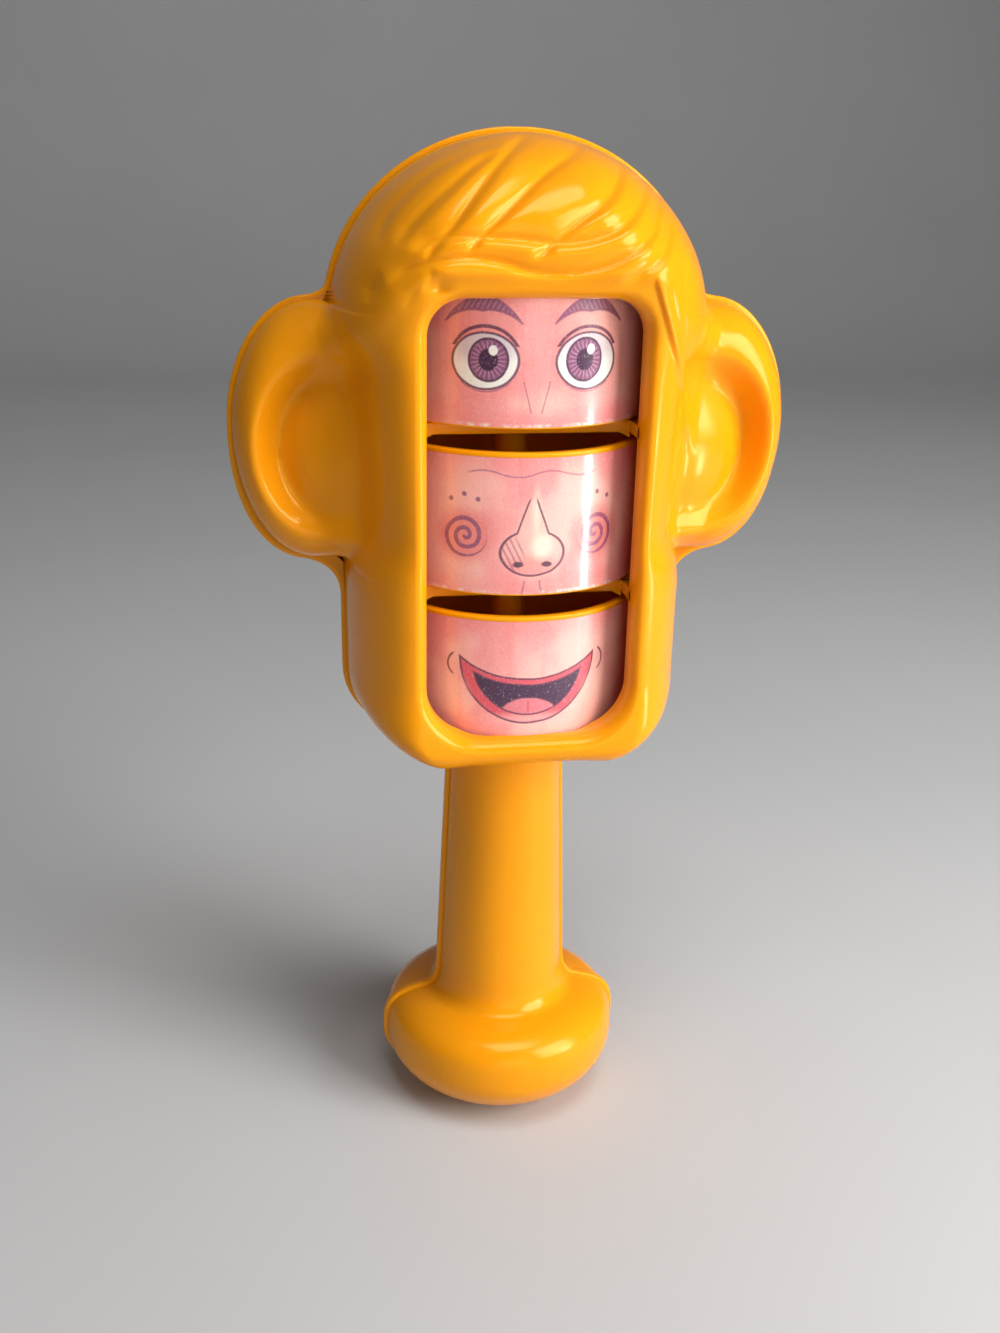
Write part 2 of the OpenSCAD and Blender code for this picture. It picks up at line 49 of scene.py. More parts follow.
TROUGH_X, TROUGH_Z, TROUGH_A, TROUGH_B, TROUGH_SIDE = 34.0, 138.5, 13.4, 17.0, 0.44
WINDOW_W, WINDOW_Z0, WINDOW_Z1, WINDOW_R1, WINDOW_R0 = 36.2, 89.3, 165.8, 6.0, 9.5
DRUM_R, DRUM_H, DRUM_PITCH, DRUM_Z, DRUM_WALL = 24.2, 25.0, 29.0, 86.7, 1.4
LABEL_T, HUB_H, AXLE_R, SHELF_T, SHELF_FRONT = 0.2, 16.0, 3.0, 2.0, 16.0
HANDLE_TOP_R, HANDLE_LOW_R, FOOT_R, FOOT_HALF_H, FOOT_MID_Z = 11.6, 13.4, 24.8, 14.4, 12.0
FOOT_SQUARE, FOOT_SHOULDER_H, FOOT_TURN, NECK_FOOT_Z = 0.57, 11.3, math.radians(62), 28.0
PELLET_R, PELLET_COUNT = 1.75, 12
SEAM_Y = -RIM_W / 2
LABEL_LIP, LABEL_FOOT, HUB_R, WEB_T = 0.8, 0.3, 5.0, 1.6
SHELF_BACK, SHELF_HALF, FLANGE_T, FLANGE_BACK = 6.0, 22.0, 1.8, 21.4
PEG_R, BOSS_R, BULKHEAD_Z = 1.5, 3.2, 31.0
PEGS = [(-41, 141), (41, 141), (0, 56), (0, 181)]
NECK_LEN, HANDLE_Z0, JAW_RISE = 2.6, 31.0, 0.2
LIP_Z, DOME_H, DOME_Z0, HAIR_Z = HEAD_Z + 5.5, OVERALL_H - TEMPLE_Z, 166.8, 172.0
LOBE_X, LOBE_Z, LOBE_A, LOBE_B, LOBE_DEPTH = 31.0, 137.0, 11.4, 16.5, 9.6
EAR_ROUND, REAR_ROUND, LOBE_ROUND, LOBE_EDGE, SIDE_TURN = 6.0, 4.0, 4.0, 2.0, 0.8
HAIR_RAISE, GROOVE_DEPTH, SIDEBURN_DEPTH = 0.9, 1.35, 0.45
EAR_JOIN_Z, SIDE_DIP, RIM_EASE, FACE_Y = 114.0, 3.0, 0.35, -12.0
# Clearances and small sizes of the fitted pieces
RUN_FIT, SEAT_FIT, SWEEP_GAP, REST_GAP, SHELF_GAP = 0.08, 0.05, 0.5, 0.3, 0.4
AXLE_HEAD_R, AXLE_HEAD_T, AXLE_TAIL, PEG_LEN, PELLET_RING = 5.0, 1.4, 1.0, 4.0, 8.0
MID_WALL = RIM_STEP + WALL / 2
# Grooves between the strands of hair, as [x, z] points from the crown down. A strand
# slopes softly into its groove from the left, and the next one starts steeply.
GROOVES = [
    [(2.5, 192), (-0.8, 189.9), (-6.2, 185.9), (-11.1, 180.8), (-14.7, 176.4), (-18, 172.8), (-19.3, 169.2)],
    [(11, 190), (7.2, 188), (0.9, 184.6), (-4.1, 180.7), (-8.1, 177.2), (-11.3, 174.2), (-14.1, 171.2)],
    [(18.2, 188), (15.3, 185.7), (10.5, 181.1), (5.2, 177.5), (-0.6, 173.1), (-3.8, 171.6)],
    [(23.4, 185.6), (19.6, 182.9), (13.8, 178.1), (9, 175.7), (2.2, 174.6), (-5.4, 175.2),
     (-15.1, 175.2), (-22.3, 172.5)],
    [(25, 183.4), (21, 180), (17.2, 175.4), (11.3, 172), (5.6, 170.3), (-1.5, 170.3),
     (-7.2, 171.8), (-13.4, 172.3), (-20, 170.9), (-25.4, 167.8)],
    [(-3.9, 188.3), (-9.2, 186), (-15.2, 181.5), (-19, 178.2), (-23.7, 173)],
    [(-2.3, 189.5), (-8.6, 188.2), (-15.1, 185.2), (-19.4, 182.1), (-23.2, 178.4), (-26.6, 172.7)],
    [(-6.8, 189.1), (-14.8, 186.7), (-20.5, 183.5), (-23.8, 180.4)],
    [(-24.7, 170.3), (-26.3, 167.7), (-28.2, 162.6)],
    [(24.6, 180.4), (22, 176.8), (19.4, 172.8), (15.5, 170), (11.5, 168.8)],
    [(-13.4, 167.3), (-17.7, 167.7), (-19.8, 168)],
]
SIDEBURNS = [
    [(-19.3, 169.2), (-20.7, 166.5), (-22.6, 163.8)],
    [(24.2, 174), (23.4, 169.4), (24.2, 160.9), (27, 152), (28.5, 145)],
    [(20.8, 170.4), (21.2, 167), (22.6, 162.8), (26, 154)],
]


def smooth(v):
    s = np.clip(v, 0, 1)
    return s * s * (3 - 2 * s)


def mix(a, b, s):
    return a + (b - a) * s


def curve(a, b, c, s):
    a, b, c = np.array(a), np.array(b), np.array(c)
    return (1 - s) ** 2 * a + 2 * s * (1 - s) * b + s * s * c


# Outline rows of the body, from the foot to the crown: half width and height
def handle_r(z):
    return mix(HANDLE_LOW_R, HANDLE_TOP_R, (z - HANDLE_Z0) / (HEAD_Z - NECK_LEN - HANDLE_Z0))


def body_rows(t, q):
    def foot(a):
        if a < 0:
            return ((FOOT_R - t) * math.cos(a), FOOT_MID_Z + (FOOT_HALF_H - t) * math.sin(a))
        return ((FOOT_R - t) * math.cos(a) ** FOOT_SQUARE,
                FOOT_MID_Z + (FOOT_SHOULDER_H - t) * math.sin(a) ** FOOT_SQUARE)

    def ear_low(a):
        return (EAR_ROOT + (EAR_HALF - EAR_ROOT - t) * math.cos(a) ** 0.89,
                EAR_Z - (EAR_DOWN - t) * max(0.0, math.sin(a)) ** 0.89)

    def ear_high(a):
        return (EAR_ROOT + (EAR_HALF - EAR_ROOT - t) * math.cos(a), EAR_Z + (EAR_UP - t) * math.sin(a))

    rows = []
    a0 = math.asin(np.clip((skin_t(t) - FOOT_MID_Z) / (FOOT_HALF_H - t), -0.98, 0))
    rows += [foot(mix(a0, 0, i / (4 * q))) for i in range(4 * q)]
    rows += [foot(mix(0, FOOT_TURN, (i / (6 * q)) ** 1.6)) for i in range(6 * q + 1)]
    c = (handle_r(NECK_FOOT_Z) - t, NECK_FOOT_Z)
    corner_z = FOOT_MID_Z + FOOT_SHOULDER_H + 0.2 - t
    rows += [tuple(curve(foot(FOOT_TURN), (c[0], corner_z), c, i / (4 * q))) for i in range(1, 4 * q)]
    z1 = HEAD_Z - NECK_LEN + t / 2
    rows += [(handle_r(z) - t, z) for z in np.linspace(NECK_FOOT_Z, z1, 4 * q + 1)]
    neck_0 = (HANDLE_TOP_R - t, z1)
    neck_1 = (HANDLE_TOP_R - t, HEAD_Z - 0.2 + 0.9 * t)
    neck_2 = (HANDLE_TOP_R + 2.8 - t, HEAD_Z + t)
    rows += [tuple(curve(neck_0, neck_1, neck_2, i / q)) for i in range(1, q + 1)]
    centre = (HEAD_HALF - JAW_R, HEAD_Z + JAW_RISE + JAW_R)
    for i in range(5 * q + 1):
        a = mix(-math.pi / 2, 0, i / (5 * q))
        rows.append((centre[0] + (JAW_R - t) * math.cos(a), centre[1] + (JAW_R - t) * math.sin(a)))
    z1 = EAR_Z - EAR_DOWN - 7
    rows += [(HEAD_HALF - t, z) for z in np.linspace(centre[1], z1, 7 * q + 1)[1:]]
    a, b = (HEAD_HALF - t, z1 + 0.1), (HEAD_HALF + 0.4 - t, EAR_Z - EAR_DOWN - 0.7 + t)
    c = ear_low(math.radians(80))
    rows += [tuple(curve(a, b, c, i / (4 * q))) for i in range(1, 4 * q)]
    rows += [ear_low(math.radians(mix(80, 0, (i / (9 * q)) ** 0.9))) for i in range(9 * q + 1)]
    rows += [ear_high(math.radians(mix(0, 88, i / (9 * q)))) for i in range(1, 9 * q + 1)]
    z = EAR_Z + EAR_UP
    a, b = rows[-1], (EAR_ROOT - 1.8 - 0.7 * t, z + 0.3 - 0.6 * t)
    c = (EAR_ROOT - 2.7 - t, z + 1.4 - 0.2 * t)
    rows += [tuple(curve(a, b, c, i / q)) for i in range(1, q + 1)]
    a0 = math.asin((DOME_Z0 - TEMPLE_Z) / DOME_H)
    for i in range(28 * q + 1):
        a = mix(a0, math.radians(87), i / (28 * q))
        rows.append(((TEMPLE_HALF - t) * math.cos(a), TEMPLE_Z + (DOME_H - t) * math.sin(a)))
    return rows


# Depth of the body in front of the seam and behind it
def skin_t(t):
    return max(0.0, t - RIM_STEP)


def head_side(z, t):
    dome = (TEMPLE_HALF - t) * np.sqrt(np.clip(1 - ((z - TEMPLE_Z) / (DOME_H - t)) ** 2, 0.0001, 1))
    dip = SIDE_DIP * smooth((z - EAR_JOIN_Z) / 12) * smooth((TEMPLE_Z - z) / 8)
    return np.where(z > TEMPLE_Z, dome, mix(HEAD_HALF, TEMPLE_HALF, smooth((z - 110) / 50)) - t - dip)


def corner(x):
    # how much higher the face begins towards its lower corners
    past = np.clip(np.abs(x) - HEAD_HALF + CORNER_R, 0, CORNER_R)
    return CORNER_R - np.sqrt(np.maximum(0, CORNER_R ** 2 - past ** 2))


def lip_rise(z, t, rise):
    return np.sqrt(1 - np.clip((LIP_Z + rise - z) / (LIP_Z - HEAD_Z - skin_t(t)), 0, 1) ** 2)


def jaw_depth(x):
    return HANDLE_TOP_R + 5 * smooth((x - 8) / 10)


def crown(z, t):
    return np.sqrt(np.clip(1 - ((z - HAIR_Z) / (OVERALL_H + 0.3 - HAIR_Z - t)) ** 2, 0.0025, 1))


def front_depth(x, z, t):
    brow = mix(FACE_DEPTH, BROW_DEPTH, smooth((z - 158) / 14))
    face = mix(LIP_DEPTH, brow, smooth((z - LIP_Z) / 12))
    low = mix(jaw_depth(x), face, lip_rise(z, t, corner(x))) - skin_t(t)
    return np.where(z > HAIR_Z, (BROW_DEPTH - skin_t(t)) * crown(z, t), low)


def rear_depth(x, z, t):
    low = mix(jaw_depth(x), BACK_DEPTH, lip_rise(z, t, 0.6 * corner(x))) - skin_t(t)
    return np.where(z > HAIR_Z, (BACK_DEPTH - skin_t(t)) * crown(z, t), low)


def flat_at(z, side):
    return mix(FACE_FLAT, FACE_FLAT / 3, smooth((z - TEMPLE_Z) / (DOME_H - 5))) * np.minimum(1, side / 30)


def section(x, flat, side):
    return np.sqrt(np.clip(1 - (np.maximum(0, x - flat) / (side - flat)) ** 2, 0, 1))


def eased_section(x, z, flat, side, w):
    # the same, but running out into the ear with an even slope where there is one
    beside = np.clip((w - side) / 8, 0, 1) * smooth((z - EAR_JOIN_Z) / 14) * smooth((166 - z) / 10)
    turn = mix(0.995, SIDE_TURN, beside)
    u = np.maximum(0, x - flat) / (side - flat)
    rest = np.sqrt(1 - turn ** 2)
    return np.sqrt(1 - np.minimum(u, turn) ** 2) - np.maximum(0, u - turn) * turn / rest


def ear_share(x, z, t):
    high = np.where(z > EAR_Z, EAR_UP, EAR_DOWN) - t
    return np.hypot(np.maximum(0, x - EAR_ROOT) / (EAR_HALF - EAR_ROOT - t), (z - EAR_Z) / high)


def ear_front(x, z, t):
    fall = np.sqrt(1 - np.clip((ear_share(x, z, t) - EAR_CREST) / (1 - EAR_CREST), 0, 1) ** 2)
    trough = np.hypot(np.maximum(0, x - TROUGH_X) / TROUGH_A, (z - TROUGH_Z) / TROUGH_B)
    return (EAR_RIM - skin_t(t)) * fall - EAR_TROUGH * smooth((1 - trough) / TROUGH_SIDE)


def ear_rear(x, z, t):
    return (EAR_RIM - skin_t(t)) * np.sqrt(1 - np.minimum(1, ear_share(x, z, t)) ** 4)


def lobe(x, z, t):
    share = np.hypot(np.maximum(0, x - LOBE_X) / (LOBE_A - skin_t(t) / 2), (z - LOBE_Z) / LOBE_B)
    return (LOBE_DEPTH - skin_t(t)) * np.sqrt(1 - np.minimum(1, share) ** 2)


def strand_cut(x, z, lines):
    # share of the full depth that the grooves take, fading at both ends of each
    total_cut = np.zeros(np.shape(x))
    for line in lines:
        lengths = [math.dist(a, b) for a, b in zip(line[:-1], line[1:])]
        total, before = sum(lengths), 0.0
        near, along, turn = np.full(np.shape(x), 1e9), np.zeros(np.shape(x)), np.zeros(np.shape(x))
        for (x0, z0), (x1, z1), length in zip(line[:-1], line[1:], lengths):
            dx, dz = x1 - x0, z1 - z0
            s = np.clip(((x - x0) * dx + (z - z0) * dz) / (length * length), 0, 1)
            d = np.hypot(x - x0 - s * dx, z - z0 - s * dz)
            closer = d < near
            along = np.where(closer, before + s * length, along)
            turn = np.where(closer, dx * (z - z0) - dz * (x - x0), turn)
            near = np.minimum(near, d)
            before += length
        fade = smooth(np.minimum(along, total - along) / 5)
        steep = 0.6 * np.exp(-(near / 0.6) ** 2) + 0.4 * np.exp(-(near / 1.3) ** 2)
        gentle = 0.35 * np.exp(-(near / 0.6) ** 2) + 0.65 * np.exp(-(near / 2.3) ** 2)
        total_cut += (fade * np.where(turn > 0, steep, gentle)) ** 4
    return total_cut ** 0.25


def spline(points, steps=8):
    p = [points[0]] + list(points) + [points[-1]]
    out = []
    for i in range(1, len(p) - 2):
        a, b, c, d = (np.array(v, float) for v in p[i - 1:i + 3])
        for k in range(steps):
            s = k / steps
            out.append(tuple(0.5 * (2 * b + (c - a) * s + (2 * a - 5 * b + 4 * c - d) * s * s
                                    + (3 * b - a - 3 * c + d) * s ** 3)))
    out.append(tuple(points[-1]))
    return out


FINE_GROOVES = [spline(g) for g in GROOVES]
FINE_SIDEBURNS = [spline(g) for g in SIDEBURNS]


def hair(x, z):
    line = WINDOW_Z1 + 2 - np.maximum(0, np.abs(x) - 18) * np.where(x > 0, 2.4, 1.4)
    soft = mix(2.5, 9.0, smooth((-x - 16) / 7))
    rise = HAIR_RAISE * smooth((z - line) / soft) * smooth((OVERALL_H - z) / 6)
    reach = smooth((OVERALL_H - z) / 3) * smooth((z - WINDOW_Z1 + 1) / 2)
    cut = GROOVE_DEPTH * reach * strand_cut(x, z, FINE_GROOVES)
    return rise - cut - SIDEBURN_DEPTH * strand_cut(x, z, FINE_SIDEBURNS)


def joined(a, b, k):
    k = k * np.clip(b / 3, 0, 1)
    return (a + b + np.sqrt((a - b) ** 2 + k * k)) / 2


def front_form(x, z, t, w):
    s = np.abs(x)
    side = np.minimum(w, head_side(z, t))
    head = front_depth(s, z, t) * eased_section(s, z, flat_at(z, side), side, w)
    near = smooth((s - 22) / 9)
    edge_round = mix(LOBE_ROUND, LOBE_EDGE, smooth((s - LOBE_X) / 6))
    form = joined(joined(head, ear_front(s, z, t), EAR_ROUND * near), lobe(s, z, t), edge_round * near)
    if t <= RIM_STEP:
        form = form + hair(x, z) * np.clip(head / 6, 0, 1)
    return np.where(z < HEAD_Z + t / 2, np.sqrt(np.maximum(0, w * w - x * x)), form)


def rear_form(x, z, t, w):
    s = np.abs(x)
    side = np.minimum(w, head_side(z, t))
    head = rear_depth(s, z, t) * eased_section(s, z, 0.6 * flat_at(z, side), side, w)
    form = joined(head, ear_rear(s, z, t), REAR_ROUND * smooth((s - 22) / 9))
    return np.where(z < HEAD_Z + t / 2, np.sqrt(np.maximum(0, w * w - x * x)), form)


def row_x(n, w, z, t):
    k = np.arange(-n, n + 1)
    even = np.abs(k) / n
    side = min(w, float(head_side(np.array(z), t)))
    flat = float(flat_at(np.array(z), side))
    turn = mix(mix(flat, side, 0.75), side, min(1, max(0, (w - side) / 8)))
    if z < HEAD_Z + t / 2:
        x = w * np.sin(np.pi / 2 * even)
    else:
        x = np.where(even < 0.3, flat * even / 0.3,
                     np.where(even < 0.62, mix(flat, turn, (even - 0.3) / 0.32),
                              mix(turn, w, np.sin(np.pi / 2 * np.clip((even - 0.62) / 0.38, 0, 1)))))
    return np.sign(k) * x


def skin(rows, n, t, front, y):
    out = np.zeros((len(rows) + 2, 2 * n + 1, 3))
    k = np.arange(-n, n + 1)
    for i, (w, z) in enumerate(rows):
        x = row_x(n, w, z, t)
        zz = np.full(x.shape, z)
        d = (front_form if front else rear_form)(x, zz, t, w)
        rise = np.where(np.abs(k) == n, 0, np.maximum(0.02, d - abs(y)))
        out[i + 1] = np.stack([x, y - rise if front else y + rise, zz], axis=1)
    for i, r in ((0, rows[0]), (-1, rows[-1])):
        out[i] = np.stack([r[0] * 0.96 * k / n, np.full(k.shape, y), np.full(k.shape, r[1])], axis=1)
    return out


def edge(g):
    return np.concatenate([g[:, 0], g[-1, 1:], g[::-1][1:, -1], g[0, ::-1][1:-1]])


# Meshes: lists of points and faces that are joined and turned into pieces
class Shape:
    def __init__(self):
        self.points, self.faces = [], []

    def add(self, points, faces):
        first = sum(len(p) for p in self.points)
        self.points.append(np.asarray(points, float).reshape(-1, 3))
        self.faces += [tuple(int(v) + first for v in f) for f in faces]

    def all_points(self):
        return np.concatenate(self.points)


def grid_faces(m, n, flip=False):
    out = []
    for i in range(m - 1):
        for k in range(n - 1):
            a = i * n + k
            f = (a, a + 1, a + n + 1, a + n)
            out.append(f[::-1] if flip else f)
    return out


def loops(rings, closed=True):
    # strips of faces from each ring of points to the next
    n = len(rings[0])
    faces = []
    for r in range(len(rings) - 1):
        for i in range(n if closed else n - 1):
            j = (i + 1) % n
            faces.append((r * n + i, r * n + j, (r + 1) * n + j, (r + 1) * n + i))
    return np.concatenate([np.asarray(q, float) for q in rings]), faces


def rounded(outline, r, steps=3):
    # outline of (a, b, round) corners; a corner with round > 0 becomes a small arc
    out = []
    n = len(outline)
    for i, (a, b, rr) in enumerate(outline):
        if not rr:
            out.append((a, b))
            continue
        p = np.array((a, b), float)
        u = np.array(outline[i - 1][:2], float) - p
        v = np.array(outline[(i + 1) % n][:2], float) - p
        p0 = p + u / np.linalg.norm(u) * r * rr
        p1 = p + v / np.linalg.norm(v) * r * rr
        out += [tuple(curve(p0, p, p1, s / steps)) for s in range(steps + 1)]
    return out


def lathe(profile, n, z=0.0, closed=True):
    p = np.array(profile, float)
    a = np.linspace(0, 2 * np.pi, n, endpoint=False)
    rings = [np.stack([r * np.cos(a), r * np.sin(a), np.full(n, zz + z)], axis=1) for r, zz in p]
    if closed:
        rings.append(rings[0])
    return loops(rings)


def prism(outline, z0, z1, bevel):
    # an upright slab on an outline, with its edges eased
    p = np.array(outline, float)
    c = p.mean(axis=0)
    small = c + (p - c) * (1 - bevel / np.abs(p - c).max())
    rings = [np.c_[small, np.full(len(p), z0)], np.c_[p, np.full(len(p), z0 + bevel)],
             np.c_[p, np.full(len(p), z1 - bevel)], np.c_[small, np.full(len(p), z1)]]
    points, faces = loops(rings)
    m = len(p)
    faces.append(tuple(range(m))[::-1])
    faces.append(tuple(range(3 * m, 4 * m)))
    return points, faces


def make(name, shape, body, node, material, angle=40):
    me = bpy.data.meshes.new(name)
    me.from_pydata((shape.all_points() * 0.001).tolist(), [], shape.faces)
    bm = bmesh.new()
    bm.from_mesh(me)
    bmesh.ops.remove_doubles(bm, verts=bm.verts, dist=2e-6)
    bmesh.ops.dissolve_degenerate(bm, edges=bm.edges, dist=1e-7)
    bmesh.ops.recalc_face_normals(bm, faces=bm.faces)
    bm.to_mesh(me)
    bm.free()
    me.polygons.foreach_set("use_smooth", [True] * len(me.polygons))
    me.set_sharp_from_angle(angle=math.radians(angle))
    me.materials.append(material)
    obj = bpy.data.objects.new(name, me)
    bpy.context.scene.collection.objects.link(obj)
    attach(obj, body)
    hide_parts(node)


# The window: distance from its outline, and the mesh cut and rolled in along it
def window_sd(x, z):
    mid, half_h = (WINDOW_Z0 + WINDOW_Z1) / 2, (WINDOW_Z1 - WINDOW_Z0) / 2
    r = np.where(z < mid, WINDOW_R0, WINDOW_R1)
    qx, qz = np.abs(x) - (WINDOW_W / 2 - r), np.abs(z - mid) - (half_h - r)
    return np.hypot(np.maximum(qx, 0), np.maximum(qz, 0)) + np.minimum(np.maximum(qx, qz), 0) - r


def window_way(x, z):
    h = 0.01
    g = np.array([window_sd(x + h, z) - window_sd(x - h, z), window_sd(x, z + h) - window_sd(x, z - h)])
    return g / np.maximum(1e-9, np.hypot(g[0], g[1]))


def cut_grid(g, level, flip, surface):
    # leaves out what lies inside the outline at this distance from the window's edge
    m, n, _ = g.shape
    points = g.reshape(-1, 3).tolist()
    sd = (window_sd(g[..., 0], g[..., 2]) - level).reshape(-1)
    # behind the face nothing is cut
    sd = np.where(g[..., 1].reshape(-1) > FACE_Y, 99, sd)
    new, faces, links = {}, [], {}

    def crossing(a, b):
        key = (min(a, b), max(a, b))
        if key not in new:
            s = sd[a] / (sd[a] - sd[b])
            p = np.array(points[a]) * (1 - s) + np.array(points[b]) * s
            for _ in range(3):
                way = window_way(p[0], p[2])
                d = float(window_sd(p[0], p[2])) - level
                p[0] -= way[0] * d
                p[2] -= way[1] * d
            p[1] = surface(p[0], p[2])
            new[key] = len(points)
            points.append(p.tolist())
        return new[key]

    for face in grid_faces(m, n, flip):
        inside = [sd[v] < 0 for v in face]
        if not any(inside):
            faces.append(face)
            continue
        if all(inside):
            continue
        out, seam = [], []
        for i, a in enumerate(face):
            b = face[(i + 1) % 4]
            if sd[a] >= 0:
                out.append(a)
            if (sd[a] >= 0) != (sd[b] >= 0):
                c = crossing(a, b)
                out.append(c)
                seam.append((c, sd[a] >= 0))
        if len(out) > 2:
            faces.append(tuple(out))
        if len(seam) == 2:
            start = [c for c, leaving in seam if leaving][0]
            end = [c for c, leaving in seam if not leaving][0]
            links[start] = end
    loop, v = [], next(iter(links))
    for _ in range(len(links)):
        loop.append(v)
        v = links[v]
    return np.array(points), faces, loop


def width_at(z, rows):
    r = np.array(sorted(rows, key=lambda p: p[1]))
    return np.interp(z, r[:, 1], r[:, 0])


def front_y(x, z, t, rows):
    return -front_form(x, z, t, width_at(z, rows))


def zipped(a, b):
    # a strip of triangles between two closed loops with different numbers of points
    def area(p):
        return float(np.sum(p[:, 0] * np.roll(p[:, 2], -1) - np.roll(p[:, 0], -1) * p[:, 2]))

    b = b if area(a) * area(b) > 0 else b[::-1]
    b = np.roll(b, -int(np.argmin(np.linalg.norm(b - a[0], axis=1))), axis=0)
    na, nb, i, j, faces = len(a), len(b), 0, 0, []
    while i < na or j < nb:
        step_a = np.linalg.norm(a[(i + 1) % na] - b[j % nb])
        step_b = np.linalg.norm(a[i % na] - b[(j + 1) % nb])
        if j == nb or (i < na and step_a <= step_b):
            faces.append((i % na, (i + 1) % na, na + j % nb))
            i += 1
        else:
            faces.append((i % na, na + (j + 1) % nb, na + j % nb))
            j += 1
    return np.concatenate([a, b]), faces


def front_housing():
    shape = Shape()
    n = 120
    rows_out, rows_in = body_rows(RIM_STEP, 4), body_rows(RIM_STEP + WALL, 2)
    outer = skin(rows_out, n, RIM_STEP, True, SEAM_Y)
    inner = skin(rows_in, 48, RIM_STEP + WALL, True, SEAM_Y)
    roll, roll_deep, margin = 2.2, 3.0, 2.3

    def surface(x, z):
        return float(front_y(np.array(x), np.array(z), RIM_STEP, rows_out))

    def inner_surface(x, z):
        return float(front_y(np.array(x), np.array(z), RIM_STEP + WALL, rows_in))

    points, faces, loop = cut_grid(outer, margin, True, surface)
    shape.add(points, faces)
    around = np.array([points[v] for v in loop])
    way = window_way(around[:, 0], around[:, 2])
    rings = [around]
    for d in roll * (1 - np.sin(np.linspace(0, np.pi / 2, 9))):
        x, z = around[:, 0] - way[0] * (margin - d), around[:, 2] - way[1] * (margin - d)
        y = front_y(x, z, RIM_STEP, rows_out) + roll_deep * (1 - math.sqrt(max(0, 1 - (1 - d / roll) ** 2)))
        rings.append(np.stack([x, y, z], axis=1))
    x, lip_y, z = rings[-1].T
    sweep = np.sqrt(np.maximum(0, (DRUM_R + SWEEP_GAP) ** 2 - x ** 2))
    back = np.maximum(-np.maximum(FLANGE_BACK, sweep), lip_y + 0.4)
    for s in (0.5, 0.96):
        rings.append(np.stack([x, mix(lip_y, back, s), z], axis=1))
    for d, up in ((0.3, 0), (FLANGE_T - 0.3, 0), (FLANGE_T, -0.3)):
        xx, zz = x + way[0] * d, z + way[1] * d
        root = front_y(xx, zz, RIM_STEP + WALL, rows_in) - 0.3
        rings.append(np.stack([xx, np.maximum(back + up, root), zz], axis=1))
    shape.add(*loops(rings))
    points, faces, loop = cut_grid(inner, FLANGE_T, False, inner_surface)
    shape.add(points, faces)
    shape.add(*zipped(rings[-1], np.array([points[v] for v in loop])))
    soft_t = RIM_STEP + RIM_EASE
    soft = edge(skin(body_rows(soft_t, 4), n, soft_t, True, SEAM_Y))
    shape.add(*loops([edge(outer), soft]))
    shape.add(*zipped(soft, edge(inner)))
    for i in range(4):
        shelf(shape, i, True)
    for p in PEGS:
        boss(shape, p, True)
    shape.add(*half_disc(True))
    return shape


def side_at(z, t):
    centre = HEAD_Z + JAW_RISE + JAW_R
    jaw = HEAD_HALF - JAW_R + math.sqrt(max(0, (JAW_R - t) ** 2 - max(0, centre - z) ** 2))
    return min(jaw, float(head_side(np.array(z), t)))


def mid_form(x, z, side, front):
    x, z = np.array(float(x)), np.array(float(z))
    if front:
        return float(front_depth(x, z, MID_WALL) * section(x, flat_at(z, side), side))
    return float(rear_depth(x, z, MID_WALL) * section(x, 0.6 * flat_at(z, side), side))


def shelf_top(i):
    if i < 3:
        return DRUM_Z + i * DRUM_PITCH - REST_GAP
    return DRUM_Z + 2 * DRUM_PITCH + DRUM_H + SHELF_GAP + SHELF_T


def shelf(shape, i, front):
    # what one half of the housing carries of a shelf under or over a drum
    z = shelf_top(i) - SHELF_T
    side = min(side_at(z, MID_WALL), side_at(z + SHELF_T, MID_WALL))
    slot = AXLE_R + SEAT_FIT
    if front:
        reach = max(x for x in np.arange(0, side, 0.2) if mid_form(x, z, side, True) > SHELF_FRONT)
        half = min(SHELF_HALF, side_at(z, RIM_STEP + WALL) - 0.4)
        rear = half - (0 if i else SHELF_BACK)
        arc = [(slot * math.cos(a), -slot * math.sin(a)) for a in np.linspace(0, math.pi, 13)]
        right = [(reach, -SHELF_FRONT), (side, SEAM_Y), (half, SEAM_Y),
                 (rear, SHELF_BACK), (slot, SHELF_BACK)]
        left = [(-x, y) for x, y in reversed(right)]
        shape.add(*prism(order(right + arc + left), z, z + SHELF_T, 0.2))
        if i in (1, 2):
            for s in (-1, 1):
                x1 = s * WINDOW_W / 2
                shape.add(*gusset(x1, x1 - s * 2.0, -SHELF_FRONT, z))
                arm = [(x1, -SHELF_FRONT + 1), (x1 + s * FLANGE_T, -SHELF_FRONT + 1),
                       (x1 + s * FLANGE_T, -FLANGE_BACK - 1), (x1, -FLANGE_BACK - 1)]
                shape.add(*prism(arm, z, z + SHELF_T, 0.2))
        return
    reach = max(x for x in np.arange(0, side, 0.2) if mid_form(x, z, side, False) > SHELF_BACK + 1)
    outline = [(-reach, SHELF_BACK + 0.02), (reach, SHELF_BACK + 0.02)]
    outline += [(reach * a, mid_form(abs(reach * a), z, side, False)) for a in np.linspace(1, -1, 13)]
    shape.add(*prism(outline, z, z + SHELF_T, 0.2))
    # a tongue that closes the slot behind the axle
    half = AXLE_R - SEAT_FIT
    tongue = [(-half, slot), (half, slot), (half, SHELF_BACK + 0.5), (-half, SHELF_BACK + 0.5)]
    shape.add(*prism(tongue, z, z + SHELF_T, 0.2))


def order(points):
    # the same points without repeated neighbours
    out = []
    for p in points:
        if not out or math.dist(p, out[-1]) > 1e-6:
            out.append(p)
    return out


